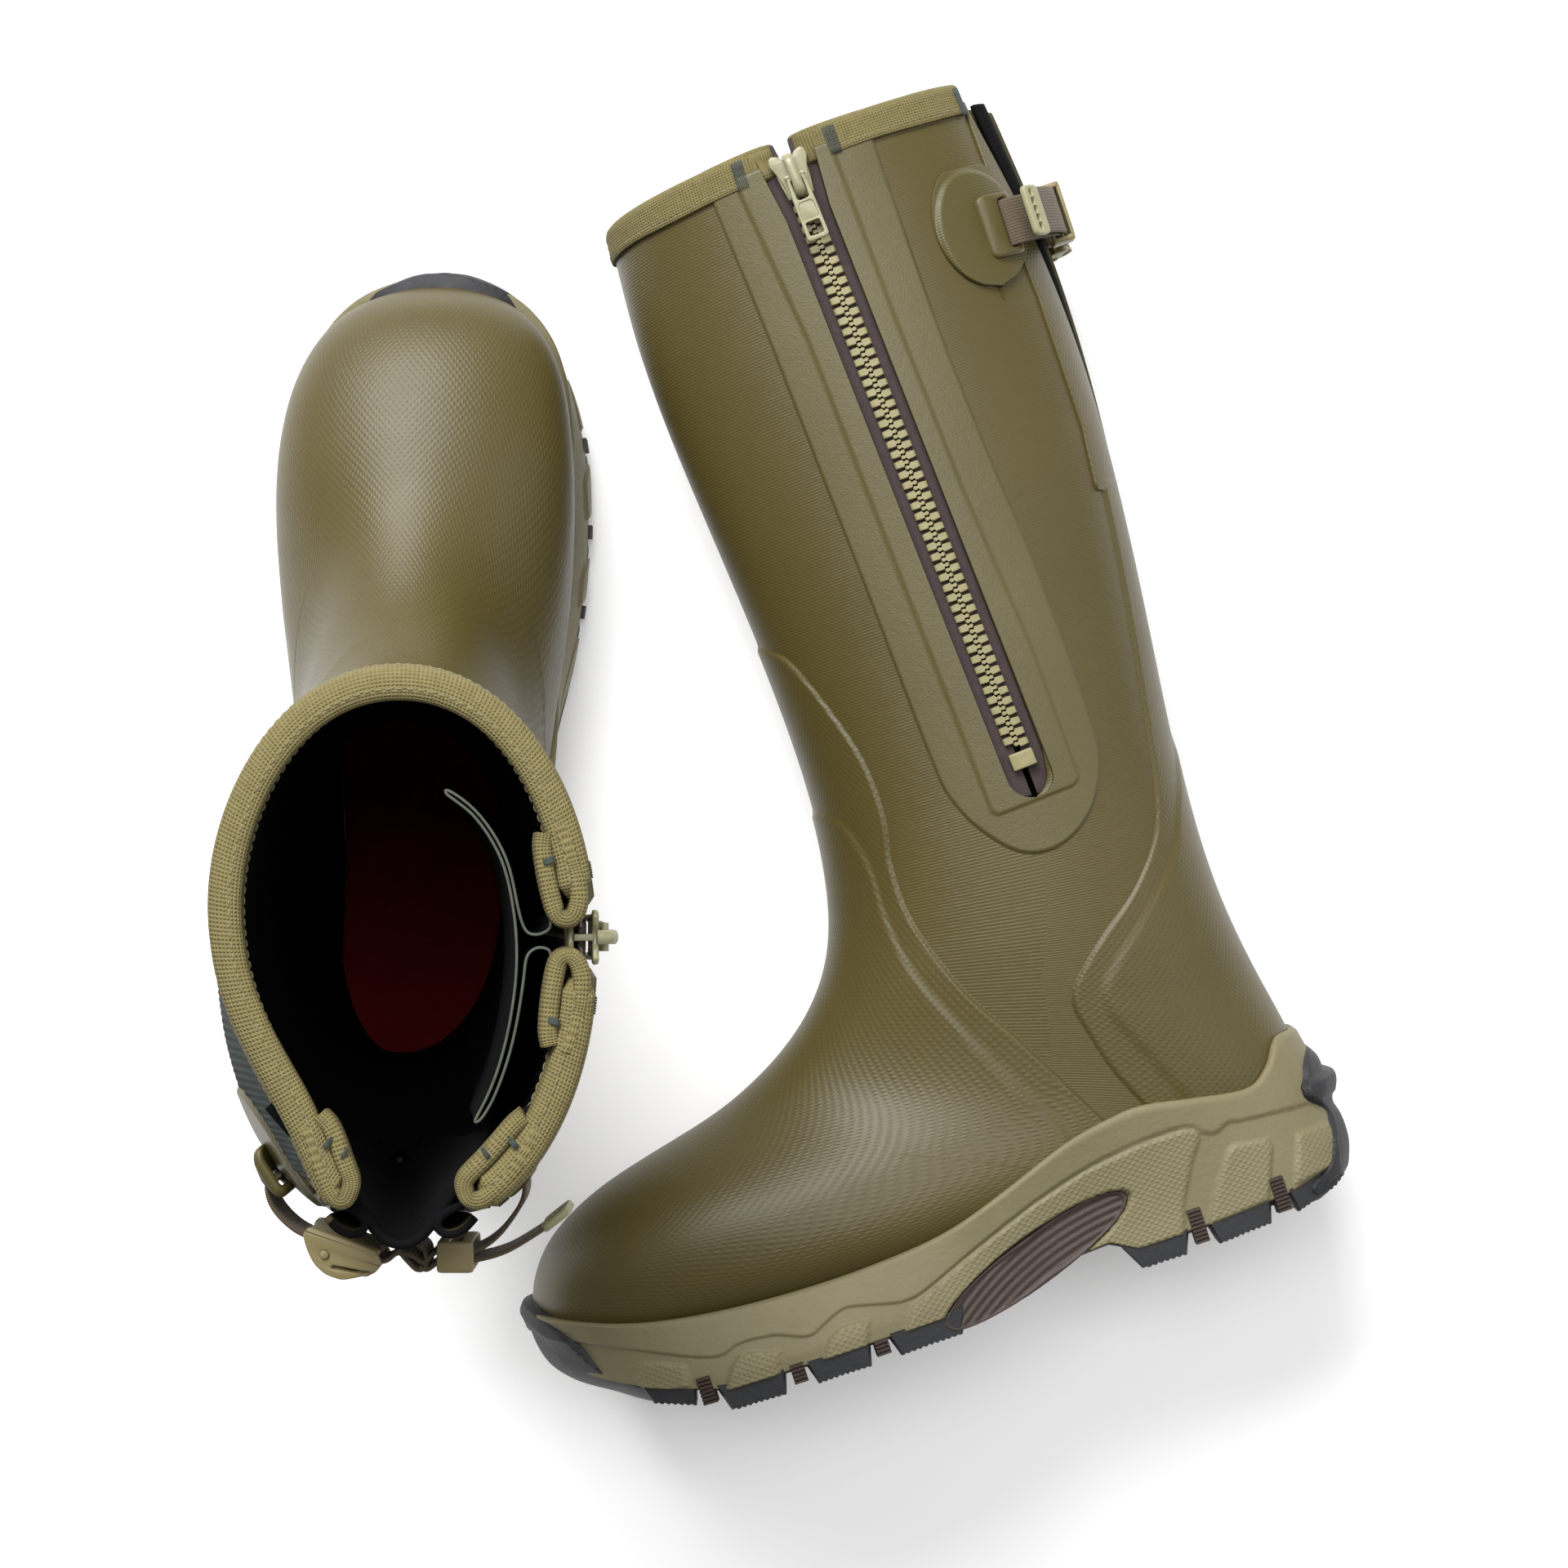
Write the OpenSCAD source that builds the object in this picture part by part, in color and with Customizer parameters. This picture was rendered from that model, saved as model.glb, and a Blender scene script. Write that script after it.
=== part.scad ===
// Pair of knee-high insulated rubber boots with a side zip, one standing and one lying on its
// inner side. Each boot is drawn once in its own frame: x to the outer side, y to the toe,
// z up, y = 0 at the back of the heel. The part's origin is the middle of the standing
// boot's heel on the ground, with +Y towards its toe.

/* [Overall] */
// Height of the rim at the back
boot_height = 447; // [400:1:540]
// Length of the sole from heel to toe
sole_length = 318; // [300:1:385]
// Width of the sole across the ball of the foot
ball_width = 119; // [110:1:145]
// Width of the shaft at the rim
rim_width = 104; // [88:1:126]
// Width of the shaft at the ankle
ankle_width = 90; // [84:1:100]
// Outward lean of the standing shaft at the rim
standing_lean = 37; // [0:1:42]
// Backward lean of the standing shaft at the rim
standing_back = 8.5; // [0:0.5:12]
// Lean of the lying shaft at the rim, negative towards the floor
lying_lean = -6; // [-8:1:0]

/* [Walls] */
// Thickness of the rubber shell
shell_t = 2.2; // [1.8:0.1:2.8]
// Thickness of the neoprene lining
lining_t = 3.5; // [3:0.1:4.5]
// Thickness of the heel counter
counter_t = 0.9; // [0.6:0.1:1.2]
// Thickness of the raised rubber overlays
overlay_t = 1.1; // [0.8:0.1:1.8]
// Clearance between neighbouring layers
gap = 0.2; // [0.15:0.01:0.3]

/* [Zip] */
// Height of the zip's bottom end
zip_low = 194; // [190:1:235]
// Distance of the zip's bottom end from the back of the heel
zip_low_y = 75; // [72:1:90]
// Distance of the zip's top end from the back of the heel
zip_top_y = 90; // [84:1:108]
// Width of the slot for the zip
slot_w = 17; // [16:0.5:20]
// Width of the closed chain of teeth
chain_w = 8; // [6.5:0.1:9]
// Distance from one tooth to the next on one side
tooth_pitch = 4.1; // [3.4:0.1:5]
// Thickness of the teeth
tooth_t = 2.4; // [2:0.1:3]
// Length of the slider
slider_len = 18; // [15:0.5:22]
// Length of the puller
puller_len = 25; // [21:0.5:30]

/* [Binding and strap] */
// Height of the woven binding on the rim
binding_h = 11; // [9:0.5:14]
// Thickness of the woven binding
binding_t = 1.5; // [1.2:0.1:2]
// Half the width of the rear gusset at the rim
gusset_half = 22; // [18:1:26]
// Depth of the rear gusset below the rim
gusset_depth = 160; // [134:1:192]
// Thickness of the gusset's folds
gusset_t = 2; // [1.6:0.1:2.6]
// Distance of the adjusting strap below the rim
strap_drop = 57; // [48:1:69]
// Width of the adjusting strap
strap_w = 18; // [15:0.5:21]
// Thickness of the adjusting strap
strap_t = 1.3; // [1:0.1:1.6]

/* [Sole] */
// Height of the tread lugs
lug_h = 7; // [5.5:0.5:9]
// Thickness of the outsole's base layer
base_t = 4; // [3:0.5:5]
// Thickness of the removable footbed
footbed_t = 5; // [4:0.5:6]
// Thickness of the insole board
board_t = 2; // [1.6:0.1:2.4]

/* [Placing] */
// Distance of the part's origin from the back of the standing heel
heel_centre = 45; // [36:1:54]
// Lying boot's heel, distance to the side of the standing one
lying_x = 361; // [340:1:420]
// Lying boot's heel, distance ahead of the standing one
lying_y = -76; // [-110:1:-40]
// Turn of the lying boot about the vertical
lying_turn = 18; // [0:1:24]

/* [Hidden] */

$fn = 32;
$lean = [0, 0];
around = 24;
ring_step = 1;
far = 400;
ankle_z = 130;
ref_height = 447;
ref_length = 318;
ref_ball = 119;

counter_off = shell_t + 0.15;
lining_off = counter_off + counter_t + 0.2;
inside_off = lining_off + lining_t;
strap_z = boot_height - strap_drop;

// Shaft heights stretch above the ankle only, and lengths stretch with the sole
function hz(z) = z < ankle_z ? z
    : ankle_z + (z - ankle_z) * (boot_height - ankle_z) / (ref_height - ankle_z);
function ly(y) = y * sole_length / ref_length;
function shaft_half(z) = ankle_width / 2
    + (rim_width - ankle_width) / 2 * (z - ankle_z) / (boot_height - ankle_z);
function foot_half(w) = w * ball_width / ref_ball;

// Stations from above the rim down the shaft, round the heel and out to the toe:
// [front y, front z, back y, back z, half width, centre x]
function shaft_station(fy, fz, by, bz) =
    [ly(fy), hz(fz), ly(by), hz(bz), shaft_half(hz((fz + bz) / 2)), 0];
function foot_station(fy, fz, by, bz, half, cx) =
    [ly(fy), hz(fz), ly(by), hz(bz), foot_half(half), cx];
stations = [
    shaft_station(160, 478, 12, 487),
    shaft_station(161, 438, 12, 447),
    shaft_station(165, 398, 6, 407),
    shaft_station(163, 350, 2.5, 358),
    shaft_station(158, 300, 3.5, 305),
    shaft_station(154, 250, 8, 252),
    shaft_station(153, 205, 14, 203),
    shaft_station(157, 170, 18, 163),
    shaft_station(164, 147, 19, 124),
    foot_station(176, 130, 13, 85, 44, 0),
    foot_station(190, 118, 6, 55, 43.5, -1),
    foot_station(206, 109, 12, 33, 43, -1),
    foot_station(223, 102, 52, 31, 44, 0),
    foot_station(241, 97.5, 108, 30, 49, 0.5),
    foot_station(259, 93.5, 168, 26, 56, 1),
    foot_station(276, 89, 224, 25, 57, 1.5),
    foot_station(292, 82.5, 264, 27, 52, 3),
    foot_station(305, 74, 291, 32, 42, 4.5),
    foot_station(313, 63, 306, 38, 28, 5.5),
    foot_station(316, 54, 314, 46, 9, 6)];
last_station = len(stations) - 1;

function catmull(p, u) = p[1] + u / 2 * (p[2] - p[0] + u * (2 * p[0] - 5 * p[1] + 4 * p[2] - p[3]
    + u * (3 * (p[1] - p[2]) + p[3] - p[0])));
function row(i) = stations[min(max(i, 0), last_station)];
function station(s) = let (i = min(floor(s), last_station - 1), u = s - i)
    [for (k = [0 : 5]) catmull([row(i - 1)[k], row(i)[k], row(i + 1)[k], row(i + 2)[k]], u)];

// The shaft slumps outward and back in a straight line from the ankle to the rim
function slump(z) = max(0, z - ankle_z) / (boot_height - ankle_z);
function lean_at(z) = $lean[0] * slump(z);
function lean_y(z) = $lean[1] * slump(z);
function leaned(points) = [for (p = points) [p[0] + lean_y(p[1]), p[1]]];
function power(v, n) = sign(v) * pow(abs(v), 2 / n);
function squareness(s, a) = cos(a) < 0 && s > 9 ? 2.1 + min(s - 9, 3) * 0.3 : 2.1;

// A point of the boot's outer surface at station s and angle a (0 front or top, 90 outer
// side, 180 back or sole), moved inward by off
function skin(s, a, off) = let (
    q = station(s), n = squareness(s, a),
    dy = q[0] - q[2], dz = q[1] - q[3], len = norm([dy, dz]),
    half = max(len / 2 - off, 0.6), wide = max(q[4] - off, 0.6),
    c = power(cos(a), n) * half / len, w = power(sin(a), n) * wide,
    y = (q[0] + q[2]) / 2 + c * dy, z = (q[1] + q[3]) / 2 + c * dz)
    [q[5] + w + lean_at(z), y + lean_y(z), z];

// Closed solid through a list of rings with the same number of points each
function triple(p, t) = p[t[0]] * cross(p[t[1]], p[t[2]]);
module loft(rings) {
    m = len(rings[0]);
    n = len(rings);
    points = [for (r = rings) each r];
    tris = [
        for (i = [0 : n - 2], j = [0 : m - 1]) let (
            a = i * m + j, b = i * m + (j + 1) % m, c = a + m, d = b + m)
            each [[a, b, d], [a, d, c]],
        for (j = [1 : m - 2]) each [
            [0, j + 1, j], [(n - 1) * m, (n - 1) * m + j, (n - 1) * m + j + 1]]];
    volume = [for (t = tris) triple(points, t)] * [for (t = tris) 1];
    polyhedron(points, volume < 0 ? tris : [for (t = tris) [t[0], t[2], t[1]]]);
}

// The boot's form, moved inward by off, with its toe held back by the same amount
module form(off) {
    end = last_station - max(0, off) * 0.14;
    count = ceil(end / ring_step);
    loft([for (i = [0 : count]) [for (j = [0 : around - 1])
        skin(min(i * ring_step, end), j * 360 / around, off)]]);
}
module layer(outer, inner) {
    difference() {
        form(outer);
        form(inner);
    }
}
// One smooth moulded piece
module moulded() resize([0, 0, 0]) children();

// Side outlines are [y, z] points, pushed across the boot
module across(low = -far, high = far)
    rotate([90, 0, 90]) translate([0, 0, low]) linear_extrude(high - low) children();
rim_slope = (hz(447) - hz(438)) / (ly(161) - ly(12));
function rim_z(y) = hz(447) - rim_slope * (y - ly(12));
module below_rim(drop = 0)
    across() translate([$lean[1], -drop])
        polygon([[-far, -far], [far, -far], [far, rim_z(far)], [-far, rim_z(-far)]]);

// Zip line: a straight line on the outer side, from the bottom end to the rim
zip_high = rim_z(zip_top_y);
function zip_y(z) = zip_low_y + (zip_top_y - zip_low_y) * (z - zip_low) / (zip_high - zip_low);
function side_x(y, z, off) = let (
    mid = (ly(153) + ly(14)) / 2, half = (ly(153) - ly(14)) / 2,
    c = min(0.95, abs(y - mid) / half))
    (shaft_half(z) - off) * pow(1 - pow(c, 2.1), 1 / 2.1) + lean_at(z);
module on_zip(along) {
    low = [side_x(zip_low_y, zip_low, shell_t), zip_low_y + lean_y(zip_low), zip_low];
    high = [side_x(zip_top_y, zip_high, shell_t), zip_top_y + lean_y(zip_high), zip_high];
    d = high - low;
    translate(low) rotate([-asin(d[1] / norm(d)), atan2(d[0], d[2]), 0])
        translate([0, 0, along]) children();
}
zip_len = norm([zip_top_y - zip_low_y, zip_high - zip_low]);
slider_at = zip_len - slider_len - 4;
slot_low = zip_low - 6;
module slot(width, bottom, flare = 0)
    across(0) polygon(leaned([
        for (a = [180 : 20 : 360]) [zip_y(bottom) + width / 2 * cos(a), bottom + width / 2 * sin(a)],
        [zip_y(zip_high - 26) + width / 2, zip_high - 26],
        [zip_y(zip_high + 26) + width / 2 + flare * 2, zip_high + 26],
        [zip_y(zip_high + 26) - width / 2 - flare * 2, zip_high + 26],
        [zip_y(zip_high - 26) - width / 2, zip_high - 26]]));
// Rear opening for the gusset, seen from behind
module rear_v(grow = 0) {
    low = boot_height - gusset_depth;
    high = boot_height - 8;
    rotate([90, 0, 0]) linear_extrude(far, center = true) polygon([
        [lean_at(high) - gusset_half - grow, boot_height + 60],
        [lean_at(high) - gusset_half - grow, high],
        [lean_at(low) - 4 - grow, low], [lean_at(low) + 4 + grow, low],
        [lean_at(high) + gusset_half + grow, high],
        [lean_at(high) + gusset_half + grow, boot_height + 60]]);
}
module rear_half() translate([-far, -far, 0]) cube([2 * far, far + ly(60), 2 * far]);

// ---- Sole ----
// Sole outline as [y, inner x, outer x]
sole_rows = [[0, -12, 9], [3, -22, 19], [10, -31, 28], [28, -38, 36], [60, -40, 39], [100, -39, 41],
    [140, -42, 47], [170, -49, 54], [200, -55, 59], [228, -57.5, 61], [254, -55, 60],
    [277, -47, 55], [296, -34, 46], [309, -19, 33], [316, -5, 20], [318, 4, 11]];
module sole_outline(grow = 0)
    offset(r = grow) polygon([
        for (r = sole_rows) [foot_half(r[2]), ly(r[0])],
        for (i = [len(sole_rows) - 1 : -1 : 0]) [foot_half(sole_rows[i][1]), ly(sole_rows[i][0])]]);
// Underside of the outsole's base along the foot: heel, arch, ball and toe spring
base_rows = [[-8, 21], [0, 18], [12, 12.5], [30, 9], [56, 7.5], [90, 7.5], [100, 13], [125, 12],
    [160, 7.5], [250, 8], [270, 14], [282, 18], [300, 26], [310, 34], [326, 52]];
function base_z(y) = lookup(y, [for (r = base_rows) [ly(r[0]), r[1] - 7 + lug_h]]);
base_line = [for (r = base_rows) [ly(r[0]), base_z(ly(r[0]))]];
top_line = [for (p = [[326, 57], [312, 54], [301, 50], [280, 44], [261, 39.5], [240, 36.5], [189, 36],
    [160, 37], [136, 43.5], [106, 55], [85, 58.5], [72, 59], [54, 56], [33, 52], [22, 57],
    [14, 64.5], [8, 66.5], [-8, 65]]) [ly(p[0]), p[1]]];
module under_band(low, high)
    across() polygon([
        for (p = base_line) [p[0], p[1] + low],
        for (i = [len(base_line) - 1 : -1 : 0]) [base_line[i][0], base_line[i][1] + high]]);
module lug(y, x, along, wide) {
    z = min(base_z(ly(y) - along / 2), base_z(ly(y) + along / 2));
    translate([foot_half(x) - wide / 2, ly(y) - along / 2, max(0, z - lug_h)])
        cube([wide, along, z - gap - max(0, z - lug_h)]);
}
heel_lugs = [12, 32, 58];
ball_lugs = [174, 198, 222, 246];
module outsole_lugs() color("#303235") {
    for (y = heel_lugs, side = [-1, 1]) lug(y, side * 26, 15, 17);
    for (side = [-1, 1]) lug(79, side * 28, 17, 19);
    translate([-9, heel_centre - 13, 0]) cube([18, 26, base_z(heel_centre + 13) - gap]);
    for (y = ball_lugs) {
        lug(y, -42 - (y - 174) * 0.08, 14, 19);
        lug(y, 46 + (y - 174) * 0.08, 14, 19);
        lug(y + 3, -13, 13, 22);
        lug(y + 3, 16, 13, 22);
    }
    for (side = [-1, 1]) lug(266, 5 + side * 32, 13, 20);
    toe_bumper();
    heel_bumper();
}
bumper_t = 3;
module toe_bumper() moulded() difference() {
    intersection() {
        linear_extrude(60) sole_outline(bumper_t);
        across() polygon([for (p = [[276, 9], [288, 9.5], [299, 15.5], [311, 22.5], [319, 31.6],
            [322, 43], [319.6, 54.4], [315.6, 57.6], [307, 46], [295, 28], [287, 20],
            [276, 17]]) [ly(p[0]), p[1]]]);
    }
    translate([0, 0, -1]) linear_extrude(90) sole_outline(gap);
    form(-overlay_t - 0.5);
}
module heel_bumper() moulded() difference() {
    intersection() {
        linear_extrude(60) hull() {
            sole_outline(bumper_t - 0.6);
            translate([0, -bumper_t]) sole_outline(bumper_t - 0.6);
        }
        across() polygon([[20, 1.2], [8.7, 4.9], [-1.2, 12], [-3.8, 20], [-4.2, 31], [-8.6, 44],
            [-5, 47], [6, 40], [11, 30], [12, 13], [20, 7]]);
        translate([-far, -far, -far]) cube([2 * far, far + 20, 2 * far]);
    }
    translate([0, 0, -1]) linear_extrude(90) sole_outline(gap);
}
module outsole_base() color("#4a3b33") moulded() intersection() {
    linear_extrude(90) sole_outline(-1.5);
    under_band(0, base_t);
}
shank_size = [16, 110, 1.6];
shank_from = [58, 14.6 + lug_h];
module shank_block(grow, tall)
    translate([-shank_size[0] / 2 - grow, ly(shank_from[0]) - grow, shank_from[1] - grow])
        cube([shank_size[0] + 2 * grow, ly(shank_size[1]) + 2 * grow, tall + grow]);
module shank() color("#8d9094") shank_block(0, shank_size[2]);
arch_at = [128, 17];
arch_tilt = -17;
arch_size = [19, 84];
module arch_shape(grow) {
    translate([0, ly(arch_at[0]), arch_at[1]]) rotate([arch_tilt, 0, 0])
        for (side = [-1, 1]) translate([side * 60, 0, 0]) rotate([0, side * 90, 0])
            resize([arch_size[0] + grow, arch_size[1] + grow, 0]) cylinder(r = 40, h = 60, center = true);
}
module arch_inserts() color("#4d3a30") moulded() intersection() {
    arch_shape(-0.6);
    difference() {
        linear_extrude(60) sole_outline(0.4);
        linear_extrude(60) sole_outline(-2.6);
    }
    under_band(base_t + gap, 60);
}
module midsole() color("#9a9268") moulded() difference() {
    intersection() {
        linear_extrude(90) sole_outline();
        across() polygon([for (p = base_line) [p[0], p[1] + base_t + gap], each top_line]);
    }
    form(-gap);
    difference() {
        arch_shape(0);
        linear_extrude(60) sole_outline(-2.9);
    }
    shank_block(gap + 0.1, 30);
}
// Floor inside the boot, above the lining
floor_line = [[6, 42], [50, 40.5], [110, 39], [168, 35.5], [230, 34.8], [270, 37], [300, 42]];
module floor_layer(low, high) intersection() {
    form(inside_off + gap);
    across() polygon([
        for (p = floor_line) [ly(p[0]), p[1] + low],
        for (i = [len(floor_line) - 1 : -1 : 0]) [ly(floor_line[i][0]), floor_line[i][1] + high]]);
}
module insole_board() color("#c9b48a") moulded() floor_layer(0, board_t);
module footbed() color("#5a1410") moulded() floor_layer(board_t + gap, board_t + gap + footbed_t);

// ---- Upper ----
// Joint between the shaft and the foot of the shell, below the zip
split_z = zip_low - 16;
module above_split() translate([-far, -far, split_z + gap / 2]) cube(2 * far);
module under_split() translate([-far, -far, split_z - gap / 2 - 2 * far]) cube(2 * far);
module foot_shell() color("#5f5a35") moulded() intersection() {
    layer(0, shell_t);
    under_split();
}
module shaft_openings() {
    slot(slot_w, slot_low, 2);
    intersection() {
        rear_v();
        rear_half();
    }
}
module shaft_shell() color("#6a6540") moulded() difference() {
    intersection() {
        layer(0, shell_t);
        above_split();
        below_rim();
    }
    shaft_openings();
}
module foot_lining() color("#17181b") moulded() intersection() {
    layer(lining_off, inside_off);
    under_split();
}
module shaft_lining() color("#17181b") moulded() difference() {
    intersection() {
        layer(lining_off, inside_off);
        above_split();
        below_rim();
    }
    shaft_openings();
}
module heel_counter() color("#3b3d40") moulded() intersection() {
    layer(counter_off, counter_off + counter_t);
    across() polygon([[-9, 36], [ly(66), 36], [ly(58), 74], [ly(34), 104], [-9, 112]]);
}
// The placket round the zip has a round bottom
placket_r = 33;
module placket_end(grow)
    translate([zip_low_y + 2 + lean_y(zip_low), zip_low]) circle(r = placket_r + grow);
module placket() color("#7b7650") moulded() difference() {
    intersection() {
        layer(-gap - overlay_t, -gap);
        across(0) union() {
            placket_end(0);
            polygon(leaned([[zip_low_y - 31, zip_low], [zip_low_y + 35, zip_low],
                [zip_top_y + 31, zip_high + 20], [zip_top_y - 35, zip_high + 20]]));
        }
        below_rim(binding_h + 0.6);
    }
    slot(slot_w, slot_low, 2);
}
shin_back = [[156, 268], [147, 261], [138, 238], [131, 213], [130, 191], [133, 172], [132, 150],
    [122, 121], [108, 97], [88, 60]];
shin_front = [[150, 62], [126, 84], [136, 100], [149, 128], [153, 152], [153, 175], [170, 199]];
module shin_overlay() color("#66613b") moulded() intersection() {
    layer(-gap - overlay_t, -gap);
    across() polygon(leaned([for (p = concat(shin_back, shin_front, [[185, 268]]))
        [ly(p[0]), hz(p[1])]]));
    difference() {
        translate([-far, -far, 0]) cube(2 * far);
        across(0) placket_end(2 * gap);
        sole_clear();
    }
}
module sole_clear() translate([0, 0, -1]) across() polygon([
    for (p = top_line) [p[0], p[1] + 1.4], [-far, 60], [-far, -far], [far, -far]]);
heel_front = [[-9, 276], [13, 276], [16, 252], [25, 199], [33, 160], [48, 139], [69, 123], [85, 109],
    [86, 96], [79, 74], [68, 50]];
module heel_overlay() color("#66613b") moulded() difference() {
    intersection() {
        layer(-gap - overlay_t, -gap);
        across() polygon(leaned([for (p = concat(heel_front, [[-9, 50]])) [ly(p[0]), hz(p[1])]]));
    }
    sole_clear();
    across(0) placket_end(2 * gap);
}
module back_strip() color("#66613b") moulded() difference() {
    intersection() {
        layer(-gap - overlay_t, -gap);
        across() polygon(leaned([for (p = [[-12, 278], [17, 278], [15, 310], [14, 360], [20, 446],
            [-12, 446]]) [ly(p[0]), hz(p[1])]]));
        below_rim(binding_h + 0.6);
    }
    intersection() {
        rear_v();
        rear_half();
    }
    anchor_zone(0.4);
}
module rear_gusset() color("#15161a") moulded() intersection() {
    layer(inside_off + gap, inside_off + gap + gusset_t);
    rear_v(7);
    rear_half();
    below_rim(binding_h + 1);
}
module zip_bellows() color("#15161a") moulded() intersection() {
    layer(inside_off + gap, inside_off + gap + 1);
    across(0) polygon(leaned([[zip_low_y - 24, slot_low - 14], [zip_low_y + 24, slot_low - 14],
        [zip_top_y + 26, zip_high + 9], [zip_top_y - 26, zip_high + 9]]));
    below_rim(14);
}
module stretch_panel() color("#3f4a44") moulded() difference() {
    intersection() {
        layer(-gap - overlay_t, -gap);
        across(-far, lean_at(boot_height) / 2) polygon(leaned([[ly(22), hz(330)], [ly(70), hz(330)],
            [ly(84), hz(470)], [ly(22), hz(470)]]));
        below_rim(binding_h + 0.6);
    }
    anchor_zone(0.4);
}
module top_binding() color("#8c8450") moulded() difference() {
    intersection() {
        layer(-gap - binding_t, inside_off + gap + binding_t);
        below_rim(-binding_t - gap);
    }
    below_rim(binding_h);
    intersection() {
        layer(-gap, inside_off + gap);
        below_rim(-gap);
    }
    slot(slot_w, slot_low, 2);
    intersection() {
        rear_v();
        rear_half();
    }
}

// ---- Zip ----
tape_out = shell_t + 0.15;
module zip_tapes() color("#3c3230") moulded() difference() {
    intersection() {
        layer(tape_out, tape_out + 0.7);
        across(0) polygon(leaned([[zip_low_y - 12, zip_low - 8], [zip_low_y + 12, zip_low - 8],
            [zip_top_y + 12, zip_high], [zip_top_y - 12, zip_high]]));
        below_rim();
    }
    across(0) polygon(leaned([[zip_low_y - 1.6, zip_low], [zip_low_y + 1.6, zip_low],
        [zip_top_y + 1.6, zip_high + 9], [zip_top_y - 1.6, zip_high + 9]]));
}
tooth_lift = 0.35;
module zip_teeth() color("#938c62")
    on_zip(0) for (i = [0 : floor((slider_at - 9) / tooth_pitch)], side = [0, 1])
        translate([tooth_lift, side == 0 ? -chain_w / 2 : -0.5, 7.5 + (i + side / 2) * tooth_pitch])
            cube([tooth_t, chain_w / 2 + 0.5, tooth_pitch / 2 - 0.2]);
module zip_stop() color("#938c62")
    on_zip(0) translate([tooth_lift, -chain_w / 2, -1]) cube([tooth_t + 0.6, chain_w, 6]);
plate_t = 1.7;
plate_x = tooth_lift + tooth_t + 0.35;
hinge_x = plate_x + plate_t + 2.4;
hinge_z = 8;
bridge_w = 4;
pin_r = 1.1;
module zip_slider() color("#8f8a66") on_zip(slider_at) {
    moulded() hull() {
        translate([plate_x, -4.5, 0]) cube([plate_t, 9, 3]);
        translate([plate_x, -7.2, slider_len - 5]) cube([plate_t, 14.4, 5]);
    }
    translate([plate_x - 4.8 - plate_t, -5.5, 1]) cube([plate_t - 0.2, 11, slider_len - 2]);
    translate([plate_x - 5, -1, slider_len - 6]) cube([5, 2, 4]);
    for (z = [hinge_z - 6, hinge_z + 4])
        translate([plate_x + plate_t, -bridge_w / 2, z]) cube([4.4, bridge_w, 2.4]);
    translate([plate_x + plate_t + 3.9, -bridge_w / 2, hinge_z - 6]) cube([1.5, bridge_w, 12.4]);
}
module zip_puller() color("#8f8a66") on_zip(slider_at) translate([hinge_x, 0, hinge_z]) {
    rotate([90, 0, 0]) cylinder(r = pin_r, h = 8, center = true);
    for (side = [-1, 1]) translate([-0.8, side * 3.25 - 0.75, -9.6]) cube([1.6, 1.5, 9.6]);
    difference() {
        translate([-0.8, -4, -puller_len]) cube([1.6, 8, puller_len - 9.4]);
        translate([-2, -2.4, -puller_len + 2]) cube([4, 4.8, 5.5]);
    }
}

// ---- Adjusting strap ----
module at_strap() translate([lean_at(strap_z), lean_y(strap_z), strap_z]) children();
anchor_r = 24.5;
module anchor_zone(grow) for (side = [-1, 1])
    across(side < 0 ? -far : 0, side < 0 ? 0 : far)
        translate([ly(28) + lean_y(strap_z), strap_z]) scale([0.7, 1]) circle(r = anchor_r + grow);
loop_at = [33.2, 21.5];
loop_len = 14;
loop_t = 2.4;
module strap_anchors() color("#6f6a43") moulded() difference() {
    union() {
        intersection() {
            layer(-gap - 1.5, -gap);
            anchor_zone(0);
        }
        at_strap() for (side = [-1, 1]) translate([side * loop_at[0], ly(loop_at[1]), 0])
            rotate([0, 0, -side * 40]) difference() {
                translate([side * 4 - loop_t / 2, -7, -strap_w / 2 - 3])
                    cube([loop_t, loop_len, strap_w + 6]);
                translate([side * 4 - loop_t, -4.5, -strap_w / 2 - 0.4])
                    cube([2 * loop_t, 4, strap_w + 0.8]);
            }
        at_strap() for (side = [-1, 1]) translate([side * loop_at[0], ly(loop_at[1]), 0])
            rotate([0, 0, -side * 40]) translate([side * -1.6 - 5.6, 2, -strap_w / 2 - 3])
                cube([11.2, 5, strap_w + 6]);
    }
    form(-gap);
}
// Plan of the strap behind the boot, as [x, y] points
strap_path = [[-33.8, 17.7], [-36, 15.9], [-34.8, 10.4], [-30.5, 5.5], [-25.1, 2.2], [-4.3, -4.95],
    [0.5, -2.6], [4.5, -3.4], [8, -5.2], [11.4, -2.3], [22.6, -1.9], [29, 2.5], [34.8, 10.4],
    [36, 15.9], [33.8, 17.7]];
tail_path = [[13, -4.5], [23, -4.5], [31, -2.2], [39, 2.4], [42.6, 4.9]];
tail_tip = [[43.4, 5.5], [48, 9.2]];
module band(path, t) for (i = [0 : len(path) - 2]) {
    d = path[i + 1] - path[i];
    translate(path[i]) rotate(atan2(d[1], d[0])) translate([-0.2, -t / 2]) square([norm(d) + 0.4, t]);
}
module adjusting_strap() color("#705c43") at_strap() {
    translate([0, 0, -strap_w / 2]) moulded() linear_extrude(strap_w) band(strap_path, strap_t);
    translate([0, 0, -strap_w / 2]) moulded() linear_extrude(strap_w) band(tail_path, strap_t);
    translate([0, 0, -strap_w / 2 - 1]) moulded() linear_extrude(strap_w + 2) band(tail_tip, 2.2);
}
lock_at = [17, -3.4];
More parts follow.
